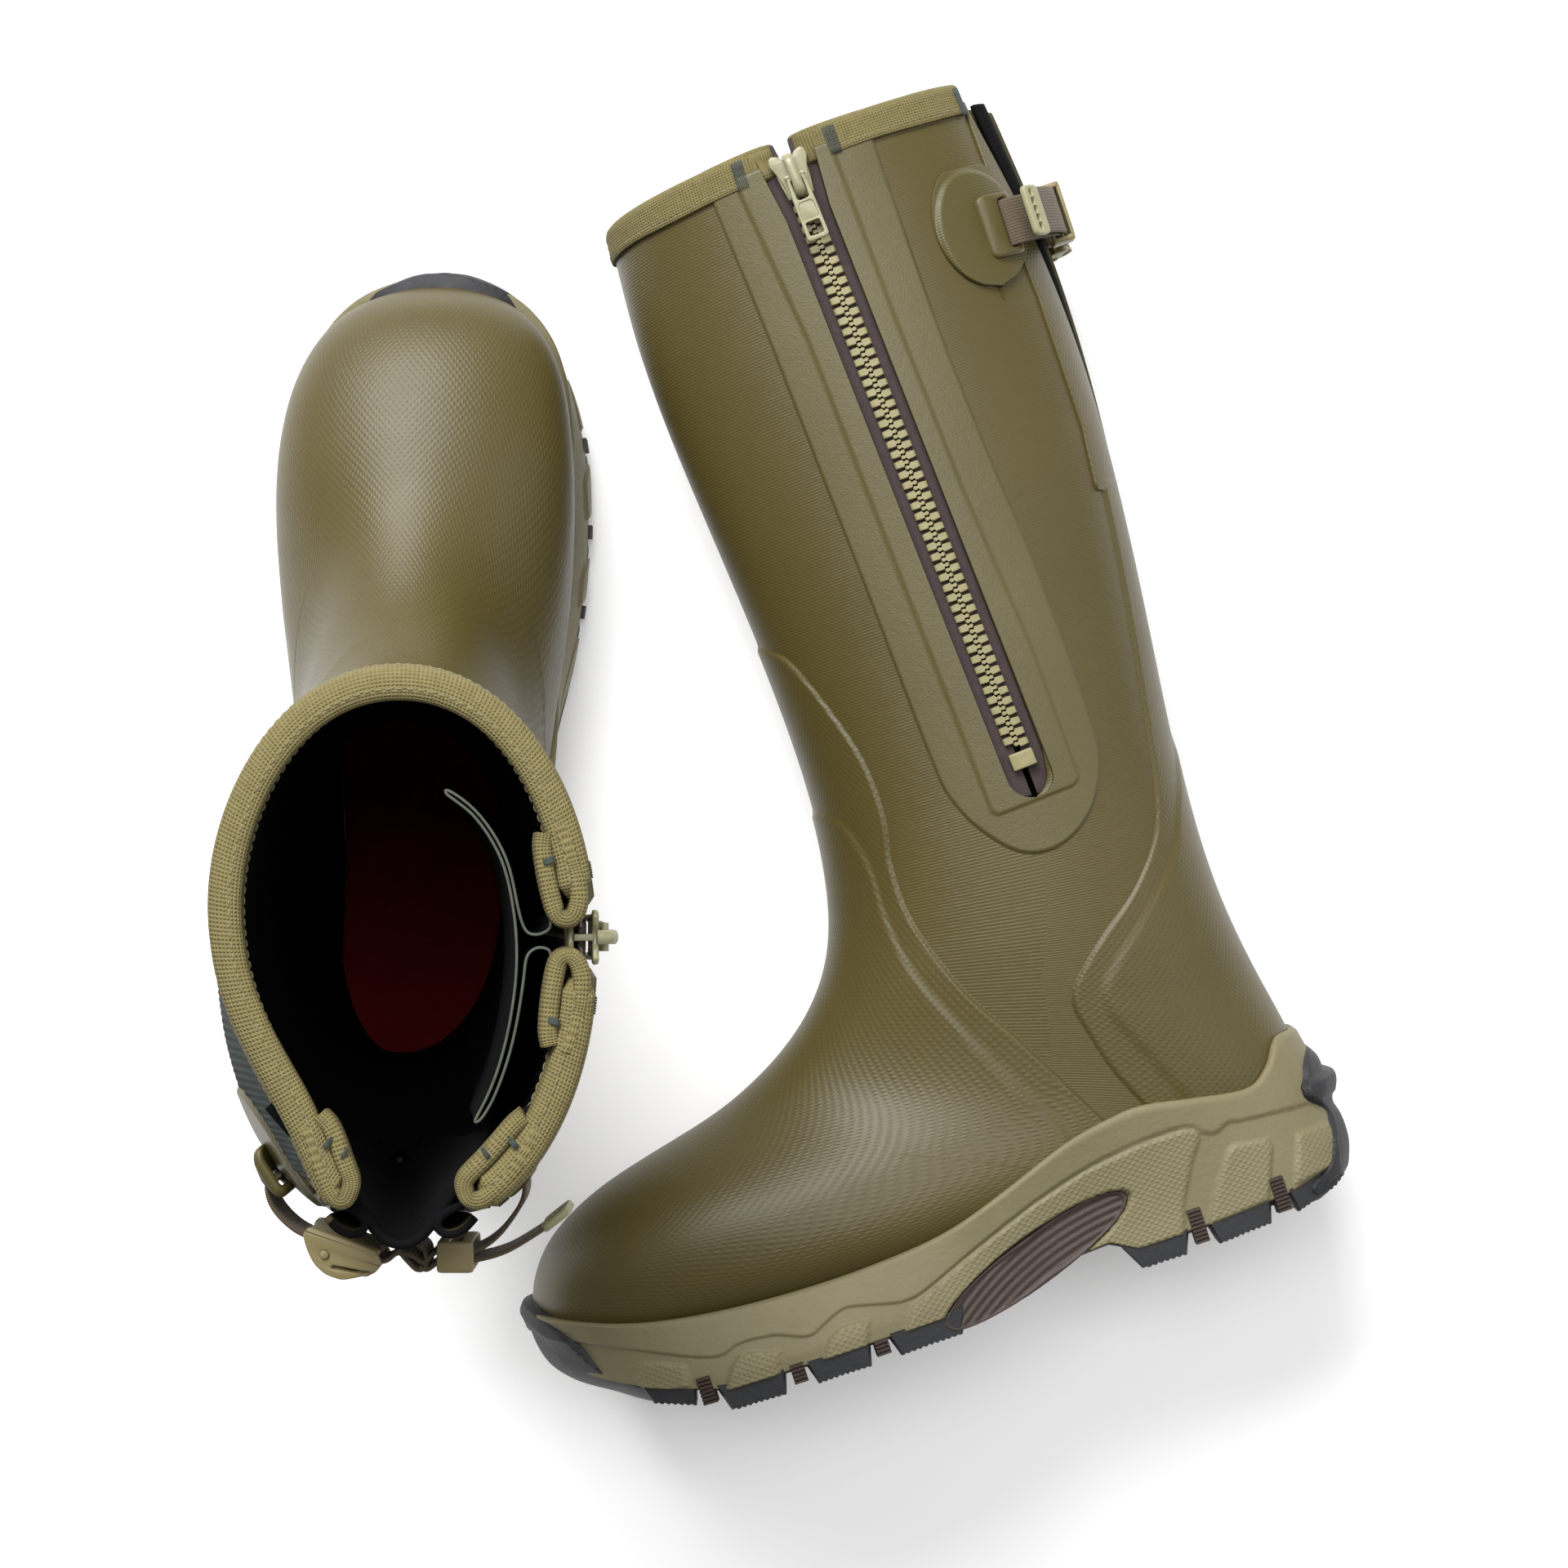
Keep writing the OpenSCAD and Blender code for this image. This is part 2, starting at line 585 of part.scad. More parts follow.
module ladder_lock() color("#746f45") at_strap() translate([lock_at[0], lock_at[1], 0]) {
    difference() {
        translate([-5.2, -4.3, -strap_w / 2 - 2.5]) cube([10.4, 8.6, strap_w + 5]);
        translate([-6, -2.9, -strap_w / 2 - 0.4]) cube([12, 5.8, strap_w + 0.8]);
    }
}
buckle_at = [-15, -2.2];
buckle_turn = -19;
buckle_len = 22;
pivot_at = [-4.4, -1.9];
lever_open = 0.35;
module at_buckle() at_strap() translate([buckle_at[0], buckle_at[1], 0]) rotate(buckle_turn) children();
module buckle_body() color("#7a7346") at_buckle() {
    for (z = [-strap_w / 2 - 2.4, strap_w / 2 + 0.6]) translate([0, 0, z]) difference() {
        translate([-buckle_len / 2, -5, 0]) cube([buckle_len, 9.2, 1.8]);
        translate([pivot_at[0], pivot_at[1], -1]) cylinder(r = pin_r + 0.08, h = 4);
    }
    translate([-buckle_len / 2, 2.6, -strap_w / 2 - 0.8]) cube([buckle_len, 1.6, strap_w + 1.6]);
}
module buckle_lever() color("#6b6540") at_buckle() translate([pivot_at[0], pivot_at[1], 0]) {
    cylinder(r = pin_r, h = strap_w + 5.6, center = true);
    translate([0, 0, -strap_w / 2 + lever_open]) linear_extrude(strap_w - 2 * lever_open)
        difference() {
            polygon([[-1.7, -0.8], [-1.2, -2], [0, -4.2], [4, -5.6], [9, -5], [14.4, -2], [15.2, -0.6],
                [14.2, -0.4], [9, -2.6], [3, -2.4], [1.6, -0.2], [1.2, 1.2], [0, 1.75], [-1.3, 1.2],
                [-1.8, 0]]);
            circle(r = pin_r - 0.02);
        }
}

// ---- Placing ----
module right() {
    $lean = [standing_lean, -standing_back];
    translate([0, -heel_centre, 0]) children();
}
module left() {
    $lean = [lying_lean, 0];
    floor_x = foot_half(57.5) + 1;
    translate([lying_x, lying_y, floor_x]) rotate([0, 90, 90 + lying_turn])
        mirror([1, 0, 0]) children();
}

right() outsole_lugs();  // right_outsole_lugs
right() outsole_base();  // right_outsole_base
right() midsole();  // right_midsole
right() arch_inserts();  // right_arch_inserts
right() shank();  // right_shank
right() insole_board();  // right_insole_board
right() footbed();  // right_footbed
right() foot_shell();  // right_foot_shell
right() shaft_shell();  // right_shaft_shell
right() foot_lining();  // right_foot_lining
right() shaft_lining();  // right_shaft_lining
right() heel_counter();  // right_heel_counter
right() placket();  // right_zip_placket
right() shin_overlay();  // right_shin_overlay
right() heel_overlay();  // right_heel_overlay
right() back_strip();  // right_back_strip
right() rear_gusset();  // right_rear_gusset
right() zip_bellows();  // right_zip_bellows
right() stretch_panel();  // right_stretch_panel
right() top_binding();  // right_top_binding
right() zip_tapes();  // right_zip_tapes
right() zip_teeth();  // right_zip_teeth
right() zip_stop();  // right_zip_stop
right() zip_slider();  // right_zip_slider
right() zip_puller();  // right_zip_puller
right() strap_anchors();  // right_strap_anchors
right() adjusting_strap();  // right_adjusting_strap
right() ladder_lock();  // right_ladder_lock
right() buckle_body();  // right_buckle_body
right() buckle_lever();  // right_buckle_lever
left() outsole_lugs();  // left_outsole_lugs
left() outsole_base();  // left_outsole_base
left() midsole();  // left_midsole
left() arch_inserts();  // left_arch_inserts
left() shank();  // left_shank
left() insole_board();  // left_insole_board
left() footbed();  // left_footbed
left() foot_shell();  // left_foot_shell
left() shaft_shell();  // left_shaft_shell
left() foot_lining();  // left_foot_lining
left() shaft_lining();  // left_shaft_lining
left() heel_counter();  // left_heel_counter
left() placket();  // left_zip_placket
left() shin_overlay();  // left_shin_overlay
left() heel_overlay();  // left_heel_overlay
left() back_strip();  // left_back_strip
left() rear_gusset();  // left_rear_gusset
left() zip_bellows();  // left_zip_bellows
left() stretch_panel();  // left_stretch_panel
left() top_binding();  // left_top_binding
left() zip_tapes();  // left_zip_tapes
left() zip_teeth();  // left_zip_teeth
left() zip_stop();  // left_zip_stop
left() zip_slider();  // left_zip_slider
left() zip_puller();  // left_zip_puller
left() strap_anchors();  // left_strap_anchors
left() adjusting_strap();  // left_adjusting_strap
left() ladder_lock();  // left_ladder_lock
left() buckle_body();  // left_buckle_body
left() buckle_lever();  // left_buckle_lever
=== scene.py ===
import math

import bmesh
import bpy
import numpy as np
from mathutils import Matrix, Vector
from mathutils.bvhtree import BVHTree


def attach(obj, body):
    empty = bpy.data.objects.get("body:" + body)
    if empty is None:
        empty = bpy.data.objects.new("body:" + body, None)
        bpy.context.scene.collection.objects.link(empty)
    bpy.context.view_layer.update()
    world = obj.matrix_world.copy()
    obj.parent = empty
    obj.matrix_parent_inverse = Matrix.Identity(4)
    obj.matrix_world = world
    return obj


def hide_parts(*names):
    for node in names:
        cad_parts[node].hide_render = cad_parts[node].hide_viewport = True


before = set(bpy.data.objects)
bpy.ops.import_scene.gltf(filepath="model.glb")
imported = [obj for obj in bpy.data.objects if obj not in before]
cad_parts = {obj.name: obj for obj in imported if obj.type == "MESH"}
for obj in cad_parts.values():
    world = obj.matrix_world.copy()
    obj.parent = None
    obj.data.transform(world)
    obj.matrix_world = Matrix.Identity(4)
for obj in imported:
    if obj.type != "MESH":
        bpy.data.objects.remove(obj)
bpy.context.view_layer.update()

# ---- Camera, floor and light ----
# The pair is seen from straight above with a long lens, on a white sweep under soft boxes.
view_from = (0.140, 0.078, 1.321)
camera = bpy.data.objects.new("camera", bpy.data.cameras.new("camera"))
camera.location = view_from
camera.data.lens = 75
camera.data.sensor_width = 36
camera.data.clip_start = 0.05
bpy.context.scene.collection.objects.link(camera)
bpy.context.scene.camera = camera
bpy.context.scene.view_settings.view_transform = "Standard"


def rough_floor():
    material = bpy.data.materials.new("paper_sweep")
    material.use_nodes = True
    surface = material.node_tree.nodes["Principled BSDF"]
    surface.inputs["Base Color"].default_value = (0.93, 0.93, 0.93, 1)
    surface.inputs["Roughness"].default_value = 0.9
    surface.inputs["Emission Color"].default_value = (1, 1, 1, 1)
    surface.inputs["Emission Strength"].default_value = 0.18
    return material


floor_mesh = bpy.data.meshes.new("floor")
floor_half = 6.0
floor_mesh.from_pydata([(-floor_half, -floor_half, 0), (floor_half, -floor_half, 0),
                        (floor_half, floor_half, 0), (-floor_half, floor_half, 0)], [], [(0, 1, 2, 3)])
floor = bpy.data.objects.new("floor", floor_mesh)
floor.location.z = -0.0008
floor_mesh.materials.append(rough_floor())
bpy.context.scene.collection.objects.link(floor)


def soft_box(name, place, aim, size, power):
    light = bpy.data.lights.new(name, "AREA")
    light.shape = "RECTANGLE"
    light.size, light.size_y = size
    light.energy = power
    lamp = bpy.data.objects.new(name, light)
    lamp.location = place
    lamp.rotation_euler = (Vector(aim) - Vector(place)).to_track_quat("-Z", "Y").to_euler()
    bpy.context.scene.collection.objects.link(lamp)


soft_box("key_box", (-0.5, 1.5, 1.6), (0.05, 0.05, 0.1), (1.5, 0.9), 70)
soft_box("fill_box", (1.9, 0.3, 1.5), (0.15, 0.0, 0.1), (0.8, 1.6), 9)
soft_box("top_box", (0.2, 0.6, 2.3), (0.15, 0.1, 0.0), (1.6, 0.7), 22)
world = bpy.data.worlds.new("studio")
world.use_nodes = True
world.node_tree.nodes["Background"].inputs["Color"].default_value = (1, 1, 1, 1)
world.node_tree.nodes["Background"].inputs["Strength"].default_value = 0.27
bpy.context.scene.world = world

# ---- Rubber shell ----
# One dipped and vulcanised rubber skin from the rim to the toe. It is laid round a last, so the
# mesh is a row of rings: level down the shaft, fanned round the heel, upright to the toe.
# The zip slot and the rear opening are gaps between its front and rear panels.
SIDES = ("right", "left")
LEAN = {"right": (37.0, -8.5), "left": (-6.0, 0.0)}
heel_centre, boot_height, ankle_z = 45.0, 447.0, 130.0
lying_at, lying_turn, lying_lift = (361.0, -76.0), math.radians(18), 58.5
rim_half, ankle_half = 52.0, 45.0
shell_t, lining_t, inside_off = 2.2, 3.5, 6.95
girth_mm = 400.0


def shaft_half(z):
    return ankle_half + (rim_half - ankle_half) * (z - ankle_z) / (boot_height - ankle_z)


def shaft_ring(front_y, front_z, back_y, back_z):
    return (front_y, front_z, back_y, back_z, shaft_half((front_z + back_z) / 2), 0)


# front y, front z, back y, back z, half width, middle x of each ring, in mm from the heel
last = np.array([
    shaft_ring(160, 478, 12, 487), shaft_ring(161, 438, 12, 447), shaft_ring(165, 398, 6, 407),
    shaft_ring(163, 350, 2.5, 358), shaft_ring(158, 300, 3.5, 305), shaft_ring(154, 250, 8, 252),
    shaft_ring(153, 205, 14, 203), shaft_ring(157, 170, 18, 163), shaft_ring(164, 147, 19, 124),
    (176, 130, 13, 85, 44, 0), (190, 118, 6, 55, 43.5, -1), (206, 109, 12, 33, 43, -1),
    (223, 102, 52, 31, 44, 0), (241, 97.5, 108, 30, 49, 0.5), (259, 93.5, 168, 26, 56, 1),
    (276, 89, 224, 25, 57, 1.5), (292, 82.5, 264, 27, 52, 3), (305, 74, 291, 32, 42, 4.5),
    (313, 63, 306, 38, 28, 5.5), (316, 54, 314, 46, 9, 6)])
rim_s, toe_s = 1.0, len(last) - 1.0


def station(s):
    """The ring at s: a cubic B-spline that eases the last's rings into each other."""
    s = np.asarray(s, float)
    i = np.clip(np.floor(s).astype(int), 0, len(last) - 2)
    u = (s - i)[..., None]
    row = [last[np.clip(i + k, 0, len(last) - 1)] for k in (-1, 0, 1, 2)]
    return ((1 - u) ** 3 * row[0] + (3 * u ** 3 - 6 * u ** 2 + 4) * row[1]
            + (-3 * u ** 3 + 3 * u ** 2 + 3 * u + 1) * row[2] + u ** 3 * row[3]) / 6


def skin(side, s, a, off=0.0):
    """Points of the boot's surface at ring s and angle a in degrees, moved inward by off mm."""
    s, a, off = np.broadcast_arrays(np.asarray(s, float), np.asarray(a, float), np.asarray(off, float))
    q = station(s)
    ca, sa = np.cos(np.radians(a)), np.sin(np.radians(a))
    n = np.where(ca < 0, 2.1 + np.clip(s - 9, 0, 3) * 0.3, 2.1)
    dy, dz = q[..., 0] - q[..., 2], q[..., 1] - q[..., 3]
    length = np.hypot(dy, dz)
    c = np.sign(ca) * np.abs(ca) ** (2 / n) * np.maximum(length / 2 - off, 0.4) / length
    w = np.sign(sa) * np.abs(sa) ** (2 / n) * np.maximum(q[..., 4] - off, 0.4)
    y = (q[..., 0] + q[..., 2]) / 2 + c * dy
    z = (q[..., 1] + q[..., 3]) / 2 + c * dz
    slump = np.maximum(0, z - ankle_z) / (boot_height - ankle_z)
    lean = LEAN.get(side, (0, 0))
    x = q[..., 5] + w + lean[0] * slump
    if side == "right":
        # The standing boot's rim is pressed in on its inner rear side
        x = x + 13.0 * np.exp(-((a % 360 - 233) / 30) ** 2) * np.clip((z - 392) / 48, 0, 1)
    return np.stack([x, y + lean[1] * slump, z], -1)


def place(side, points):
    """Boot frame in mm to the part's frame in metres: one boot stands, its mirror image lies."""
    p = np.asarray(points, float).reshape(-1, 3)
    if side == "right":
        return (p - [0, heel_centre, 0]) / 1000
    forward = np.array([-math.cos(lying_turn), -math.sin(lying_turn), 0])
    up = np.array([-math.sin(lying_turn), math.cos(lying_turn), 0])
    out = p[:, :1] * [0, 0, 1] + p[:, 1:2] * forward + p[:, 2:] * up
    return (out + [lying_at[0], lying_at[1], lying_lift]) / 1000


def piece(side, name, points, faces, material, nodes=(), uv=None, part_of="boot", smooth=True):
    """One mesh of a boot, riding on a body and standing for the CAD nodes named."""
    mesh = bpy.data.meshes.new(f"{side}_{name}")
    placed = place(side, points)
    if side == "left":
        faces = [tuple(reversed(f)) for f in faces]
    mesh.from_pydata(placed.tolist(), [], [tuple(int(i) for i in f) for f in faces])
    if uv is not None:
        layer = mesh.uv_layers.new(name="surface")
        index = np.empty(len(mesh.loops), int)
        mesh.loops.foreach_get("vertex_index", index)
        layer.data.foreach_set("uv", np.asarray(uv, float)[index].astype(np.float32).ravel())
    mesh.validate()
    obj = bpy.data.objects.new(f"{side}_{name}_visual", mesh)
    bpy.context.scene.collection.objects.link(obj)
    mesh.materials.append(material)
    if smooth:
        mesh.shade_smooth()
    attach(obj, f"{side}_{part_of}")
    if nodes:
        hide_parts(*[f"{side}_{n}" for n in nodes])
    return obj


def grid_faces(rows, cols, start=0, wrap=False):
    last_col = cols if wrap else cols - 1
    return [(start + i * cols + j, start + i * cols + (j + 1) % cols,
             start + (i + 1) * cols + (j + 1) % cols, start + (i + 1) * cols + j)
            for i in range(rows - 1) for j in range(last_col)]


def prism_faces(rings, sides):
    """Faces of a row of closed rings of points, capped at both ends."""
    return (grid_faces(rings, sides, wrap=True)
            + [tuple(range(sides)), tuple(range(rings * sides - 1, (rings - 1) * sides - 1, -1))])


def slab_faces(rows, cols):
    """Faces of a closed slab: two grids of points, one after the other, and the wall between them."""
    n = rows * cols
    rim = (list(range(cols)) + [i * cols + cols - 1 for i in range(1, rows)]
           + [(rows - 1) * cols + j for j in range(cols - 2, -1, -1)]
           + [i * cols for i in range(rows - 2, 0, -1)])
    wall = [(a, b, n + b, n + a) for a, b in zip(rim, rim[1:] + rim[:1])]
    return grid_faces(rows, cols) + grid_faces(rows, cols, start=n) + wall


def apply(obj, kind, **settings):
    """Adds a modifier and bakes it into the mesh."""
    modifier = obj.modifiers.new(kind.lower(), kind)
    for key, value in settings.items():
        setattr(modifier, key, value)
    graph = bpy.context.evaluated_depsgraph_get()
    graph.update()
    mesh = bpy.data.meshes.new_from_object(obj.evaluated_get(graph))
    obj.modifiers.clear()
    old, obj.data = obj.data, mesh
    bpy.data.meshes.remove(old)
    return obj


def face_outward(obj):
    """Welds doubled points and turns every face of a closed mesh outward."""
    bm = bmesh.new()
    bm.from_mesh(obj.data)
    bmesh.ops.remove_doubles(bm, verts=bm.verts, dist=2e-6)
    bmesh.ops.recalc_face_normals(bm, faces=bm.faces)
    bm.to_mesh(obj.data)
    bm.free()
    return obj


def surface_material(name, base, roughness, sheen=0.0, coat=0.0, specular=0.5):
    """A Principled material; the helpers below add its colour variation and bump."""
    material = bpy.data.materials.new(name)
    material.use_nodes = True
    p = material.node_tree.nodes["Principled BSDF"]
    p.inputs["Base Color"].default_value = (*base, 1)
    p.inputs["Roughness"].default_value = roughness
    p.inputs["Sheen Weight"].default_value = sheen
    p.inputs["Coat Weight"].default_value = coat
    p.inputs["Specular IOR Level"].default_value = specular
    return material


def add_node(material, kind, inputs=None, **settings):
    n = material.node_tree.nodes.new(kind)
    for key, value in settings.items():
        setattr(n, key, value)
    for key, value in (inputs or {}).items():
        if isinstance(value, bpy.types.NodeSocket):
            material.node_tree.links.new(value, n.inputs[key])
        else:
            n.inputs[key].default_value = value
    return n


def coordinates(material, uv=False):
    if uv:
        return add_node(material, "ShaderNodeUVMap", uv_map="surface").outputs["UV"]
    return add_node(material, "ShaderNodeTexCoord").outputs["Object"]


def mottle(material, base, deep, scale, amount=0.5, detail=4.0):
    """Large soft variation between two shades of the base colour."""
    noise = add_node(material, "ShaderNodeTexNoise", {"Vector": coordinates(material), "Scale": scale,
                                                      "Detail": detail, "Roughness": 0.6})
    ramp = add_node(material, "ShaderNodeValToRGB", {"Fac": noise.outputs["Fac"]})
    ramp.color_ramp.elements[0].position = 0.5 - amount / 2
    ramp.color_ramp.elements[1].position = 0.5 + amount / 2
    ramp.color_ramp.elements[0].color = (*deep, 1)
    ramp.color_ramp.elements[1].color = (*base, 1)
    return ramp.outputs["Color"]


def colour_from(material, socket):
    material.node_tree.links.new(socket, material.node_tree.nodes["Principled BSDF"].inputs["Base Color"])


def roughness_from(material, fac, low, high):
    spread = add_node(material, "ShaderNodeMapRange", {"Value": fac, "To Min": low, "To Max": high})
    material.node_tree.links.new(spread.outputs["Result"],
                                 material.node_tree.nodes["Principled BSDF"].inputs["Roughness"])


def bump_from(material, heights):
    """Chains (height socket, distance in metres, strength) bumps into the surface normal."""
    normal = None
    for height, distance, strength in heights:
        inputs = {"Height": height, "Distance": distance, "Strength": strength}
        if normal is not None:
            inputs["Normal"] = normal
        normal = add_node(material, "ShaderNodeBump", inputs).outputs["Normal"]
    material.node_tree.links.new(normal, material.node_tree.nodes["Principled BSDF"].inputs["Normal"])


def ribs(material, vector, axis, pitch):
    """Height of parallel ribs, one per pitch, across the given axis of a vector in mm."""
    parts = add_node(material, "ShaderNodeSeparateXYZ", {"Vector": vector})
    angle = add_node(material, "ShaderNodeMath", {0: parts.outputs[axis], 1: 2 * math.pi / pitch},
                     operation="MULTIPLY")
    wave = add_node(material, "ShaderNodeMath", {0: angle.outputs[0]}, operation="SINE")
    return add_node(material, "ShaderNodeMath", {0: wave.outputs[0], 1: 0.5, 2: 0.5},
                    operation="MULTIPLY_ADD").outputs[0]


def combine(material, a, b, operation="MULTIPLY"):
    return add_node(material, "ShaderNodeMath", {0: a, 1: b}, operation=operation).outputs[0]


def fine_grain(material, scale, detail=3.0):
    return add_node(material, "ShaderNodeTexNoise", {"Vector": coordinates(material), "Scale": scale,
                                                     "Detail": detail, "Roughness": 0.65}).outputs["Fac"]


OLIVE, OLIVE_DEEP = (0.080, 0.062, 0.0145), (0.062, 0.048, 0.011)


def rubber_skin(name, base, deep, texture, roughness=0.42):
    """Satin olive rubber with a woven print if the texture is mesh, and level grain otherwise."""
    m = surface_material(name, base, roughness, coat=0.05, specular=0.4)
    m.node_tree.nodes["Principled BSDF"].inputs["Coat Roughness"].default_value = 0.42
    colour_from(m, mottle(m, base, deep, 9.0, 0.6))
    uv = coordinates(m, uv=True)
    if texture == "mesh":
        turned = add_node(m, "ShaderNodeVectorRotate", {"Vector": uv, "Angle": math.radians(40)},
                          rotation_type="Z_AXIS").outputs["Vector"]
        other = add_node(m, "ShaderNodeVectorRotate", {"Vector": uv, "Angle": math.radians(-40)},
                         rotation_type="Z_AXIS").outputs["Vector"]
        print_height = combine(m, ribs(m, turned, 0, 2.0), ribs(m, other, 0, 2.0))
        depth = 0.00018
    else:
        wobble = add_node(m, "ShaderNodeTexNoise", {"Vector": uv, "Scale": 0.35, "Detail": 2.0})
        print_height = combine(m, ribs(m, uv, 1, 1.1), wobble.outputs["Fac"])
        depth = 0.00025
    grain = fine_grain(m, 1500)
    bump_from(m, [(print_height, depth, 0.55), (grain, 0.00012, 0.6)])
    roughness_from(m, fine_grain(m, 26), roughness - 0.06, roughness + 0.08)
    return m


def ring_at_height(z, edge):
    """The ring whose front (0) or back (1) point has height z, above the heel."""
    s = np.linspace(0.5, 10, 400)
    heights = station(s)[:, 1 if edge == 0 else 3]
    return float(np.interp(-z, -heights, s))


zip_low, zip_low_y, zip_top_y, slot_half = 194.0, 75.0, 90.0, 8.5
zip_high = 442.3
slot_low = zip_low - 6


def zip_y(z):
    return zip_low_y + (zip_top_y - zip_low_y) * (z - zip_low) / (zip_high - zip_low)


def angle_of_y(s, y, off=0.0):
    """Angle on the outer side at which ring s is at distance y from the heel."""
    q = station(s)
    c = (y - (q[..., 0] + q[..., 2]) / 2) / ((q[..., 0] - q[..., 2]) / 2)
    c = np.clip(c, -0.999, 0.999)
    return np.degrees(np.arccos(np.sign(c) * np.abs(c) ** (2.1 / 2)))


def slot_gap(s, extra=0.0):
    """Half the width of the zip slot at ring s, with a round lower end and a flare at the rim."""
    z = skin("plain", s, 90.0)[..., 2]
    r = slot_half + extra
    below = np.clip((slot_low + 2 - z) / r, 0, 1)
    return np.where(z > slot_low + 2 - r, r * np.sqrt(1 - below ** 2), 0) + np.clip(z - 414, 0, 40) * 0.10


gusset_half, gusset_depth = 22.0, 160.0


def rear_gap(s):
    """Half the width of the rear opening at ring s."""
    z = station(s)[..., 3]
    low = boot_height - gusset_depth
    return np.clip((z - low) / (boot_height - 8 - low), 0, 1) * (gusset_half - 2) + np.where(z > low, 2.0, 0)


def rear_angle(s):
    """Half the angle that the rear opening takes out of ring s, in degrees."""
    return np.degrees(np.arcsin(np.clip(rear_gap(s) / 50, 0, 1)))


def panels(side, rows, cols, off, extra=0.0):
    """Rings cut at the zip and at the back: the front panel, then the rear one."""
    s = np.array(rows)
    z = skin(side, s, 90.0)[:, 2]
    half = slot_gap(s, extra)
    low = angle_of_y(s, zip_y(z) + half)
    high = angle_of_y(s, zip_y(z) - half)
    fade = np.clip((s - 6.2) / 2.5, 0, 1)
    low, high = low * (1 - fade) + 90 * fade, high * (1 - fade) + 90 * fade
    back = rear_angle(s)
    u = np.linspace(0, 1, cols)
    front = low[:, None] + (-180 + back - low)[:, None] * u[None, :]
    rear_cols = max(8, cols // 3)
    v = np.linspace(0, 1, rear_cols)
    rear = (180 - back)[:, None] + (high - (180 - back))[:, None] * v[None, :]
    return [(skin(side, s[:, None], angles, off), angles) for angles in (front, rear)]


def joined_grid(parts):
    """Points, faces and surface coordinates in mm of several grids of rings."""
    points, faces, uvs = [], [], []
    for grid, angles in parts:
        rows, cols = grid.shape[:2]
        faces += grid_faces(rows, cols, start=sum(len(p) for p in points))
        points.append(grid.reshape(-1, 3))
        along = np.cumsum(np.r_[0, np.linalg.norm(np.diff(grid[:, cols // 2], axis=0), axis=1)])
        uvs.append(np.stack([angles / 360 * girth_mm, np.repeat(along[:, None], cols, 1)], -1).reshape(-1, 2))
    return np.concatenate(points), faces, np.concatenate(uvs)


def ring_rows(start, end, fine):
    """Rings from start to end, closer together round the lower end of the slot."""
    rows = list(np.arange(start, end, fine))
    rows += list(np.linspace(5.9, 6.6, 24)) + [end]
    return sorted(set(round(float(r), 4) for r in rows))


shell_rubber = rubber_skin("upper_rubber", OLIVE, OLIVE_DEEP, "grain")
for side in SIDES:
    rows = ring_rows(rim_s, toe_s, 0.1)
    points, faces, uv = joined_grid(panels(side, rows, 72, 0.0))
    shell = piece(side, "rubber_shell", points, faces, shell_rubber, ("foot_shell", "shaft_shell"),
                  uv)
    face_outward(shell)
    apply(shell, "SOLIDIFY", thickness=shell_t / 1000, offset=-1.0)

# ---- Neoprene lining ----
# A closed-cell neoprene sock with a black jersey face, glued inside the rubber. It carries the
# warmth and the padding, and is cut away at the zip and at the rear gusset like the shell.
def jersey(name, base, deep):
    m = surface_material(name, base, 0.92, specular=0.12)
    m.node_tree.nodes["Principled BSDF"].inputs["Sheen Roughness"].default_value = 0.5
    colour_from(m, mottle(m, base, deep, 40.0, 0.5))
    uv = coordinates(m, uv=True)
    knit = combine(m, ribs(m, uv, 0, 1.3), ribs(m, uv, 1, 0.9))
    bump_from(m, [(knit, 0.00018, 0.6), (fine_grain(m, 900), 0.0001, 0.5)])
    return m


neoprene = jersey("neoprene_jersey", (0.0035, 0.0035, 0.0042), (0.0015, 0.0015, 0.002))
lining_off = 3.45
for side in SIDES:
    rows = ring_rows(rim_s + 0.06, 17.6, 0.2)
    points, faces, uv = joined_grid(panels(side, rows, 48, lining_off + lining_t, extra=1.5))
    lining = piece(side, "neoprene_lining", points, faces, neoprene,
                   ("foot_lining", "shaft_lining"), uv)
    face_outward(lining)
    apply(lining, "SOLIDIFY", thickness=lining_t / 1000, offset=1.0)

# ---- Heel counter, shank and insole board ----
# Stiff parts sealed in the boot: a thermoplastic cup round the heel, a sprung steel strip
# in the midsole and a fibre board on top of it. They keep their CAD shapes.
counter_plastic = surface_material("counter_plastic", (0.05, 0.05, 0.055), 0.55)
bump_from(counter_plastic, [(fine_grain(counter_plastic, 400), 0.0002, 0.4)])
shank_steel = surface_material("shank_steel", (0.55, 0.56, 0.58), 0.3)
shank_steel.node_tree.nodes["Principled BSDF"].inputs["Metallic"].default_value = 1.0
roughness_from(shank_steel, fine_grain(shank_steel, 120), 0.22, 0.42)
fibre_board = surface_material("fibre_board", (0.62, 0.52, 0.36), 0.9)
colour_from(fibre_board, mottle(fibre_board, (0.62, 0.52, 0.36), (0.44, 0.34, 0.2), 160.0))
bump_from(fibre_board, [(fine_grain(fibre_board, 700), 0.0003, 0.6)])
for side in SIDES:
    for node, finish in (("heel_counter", counter_plastic), ("shank", shank_steel),
                         ("insole_board", fibre_board)):
        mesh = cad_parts[f"{side}_{node}"].data
        mesh.materials.clear()
        mesh.materials.append(finish)


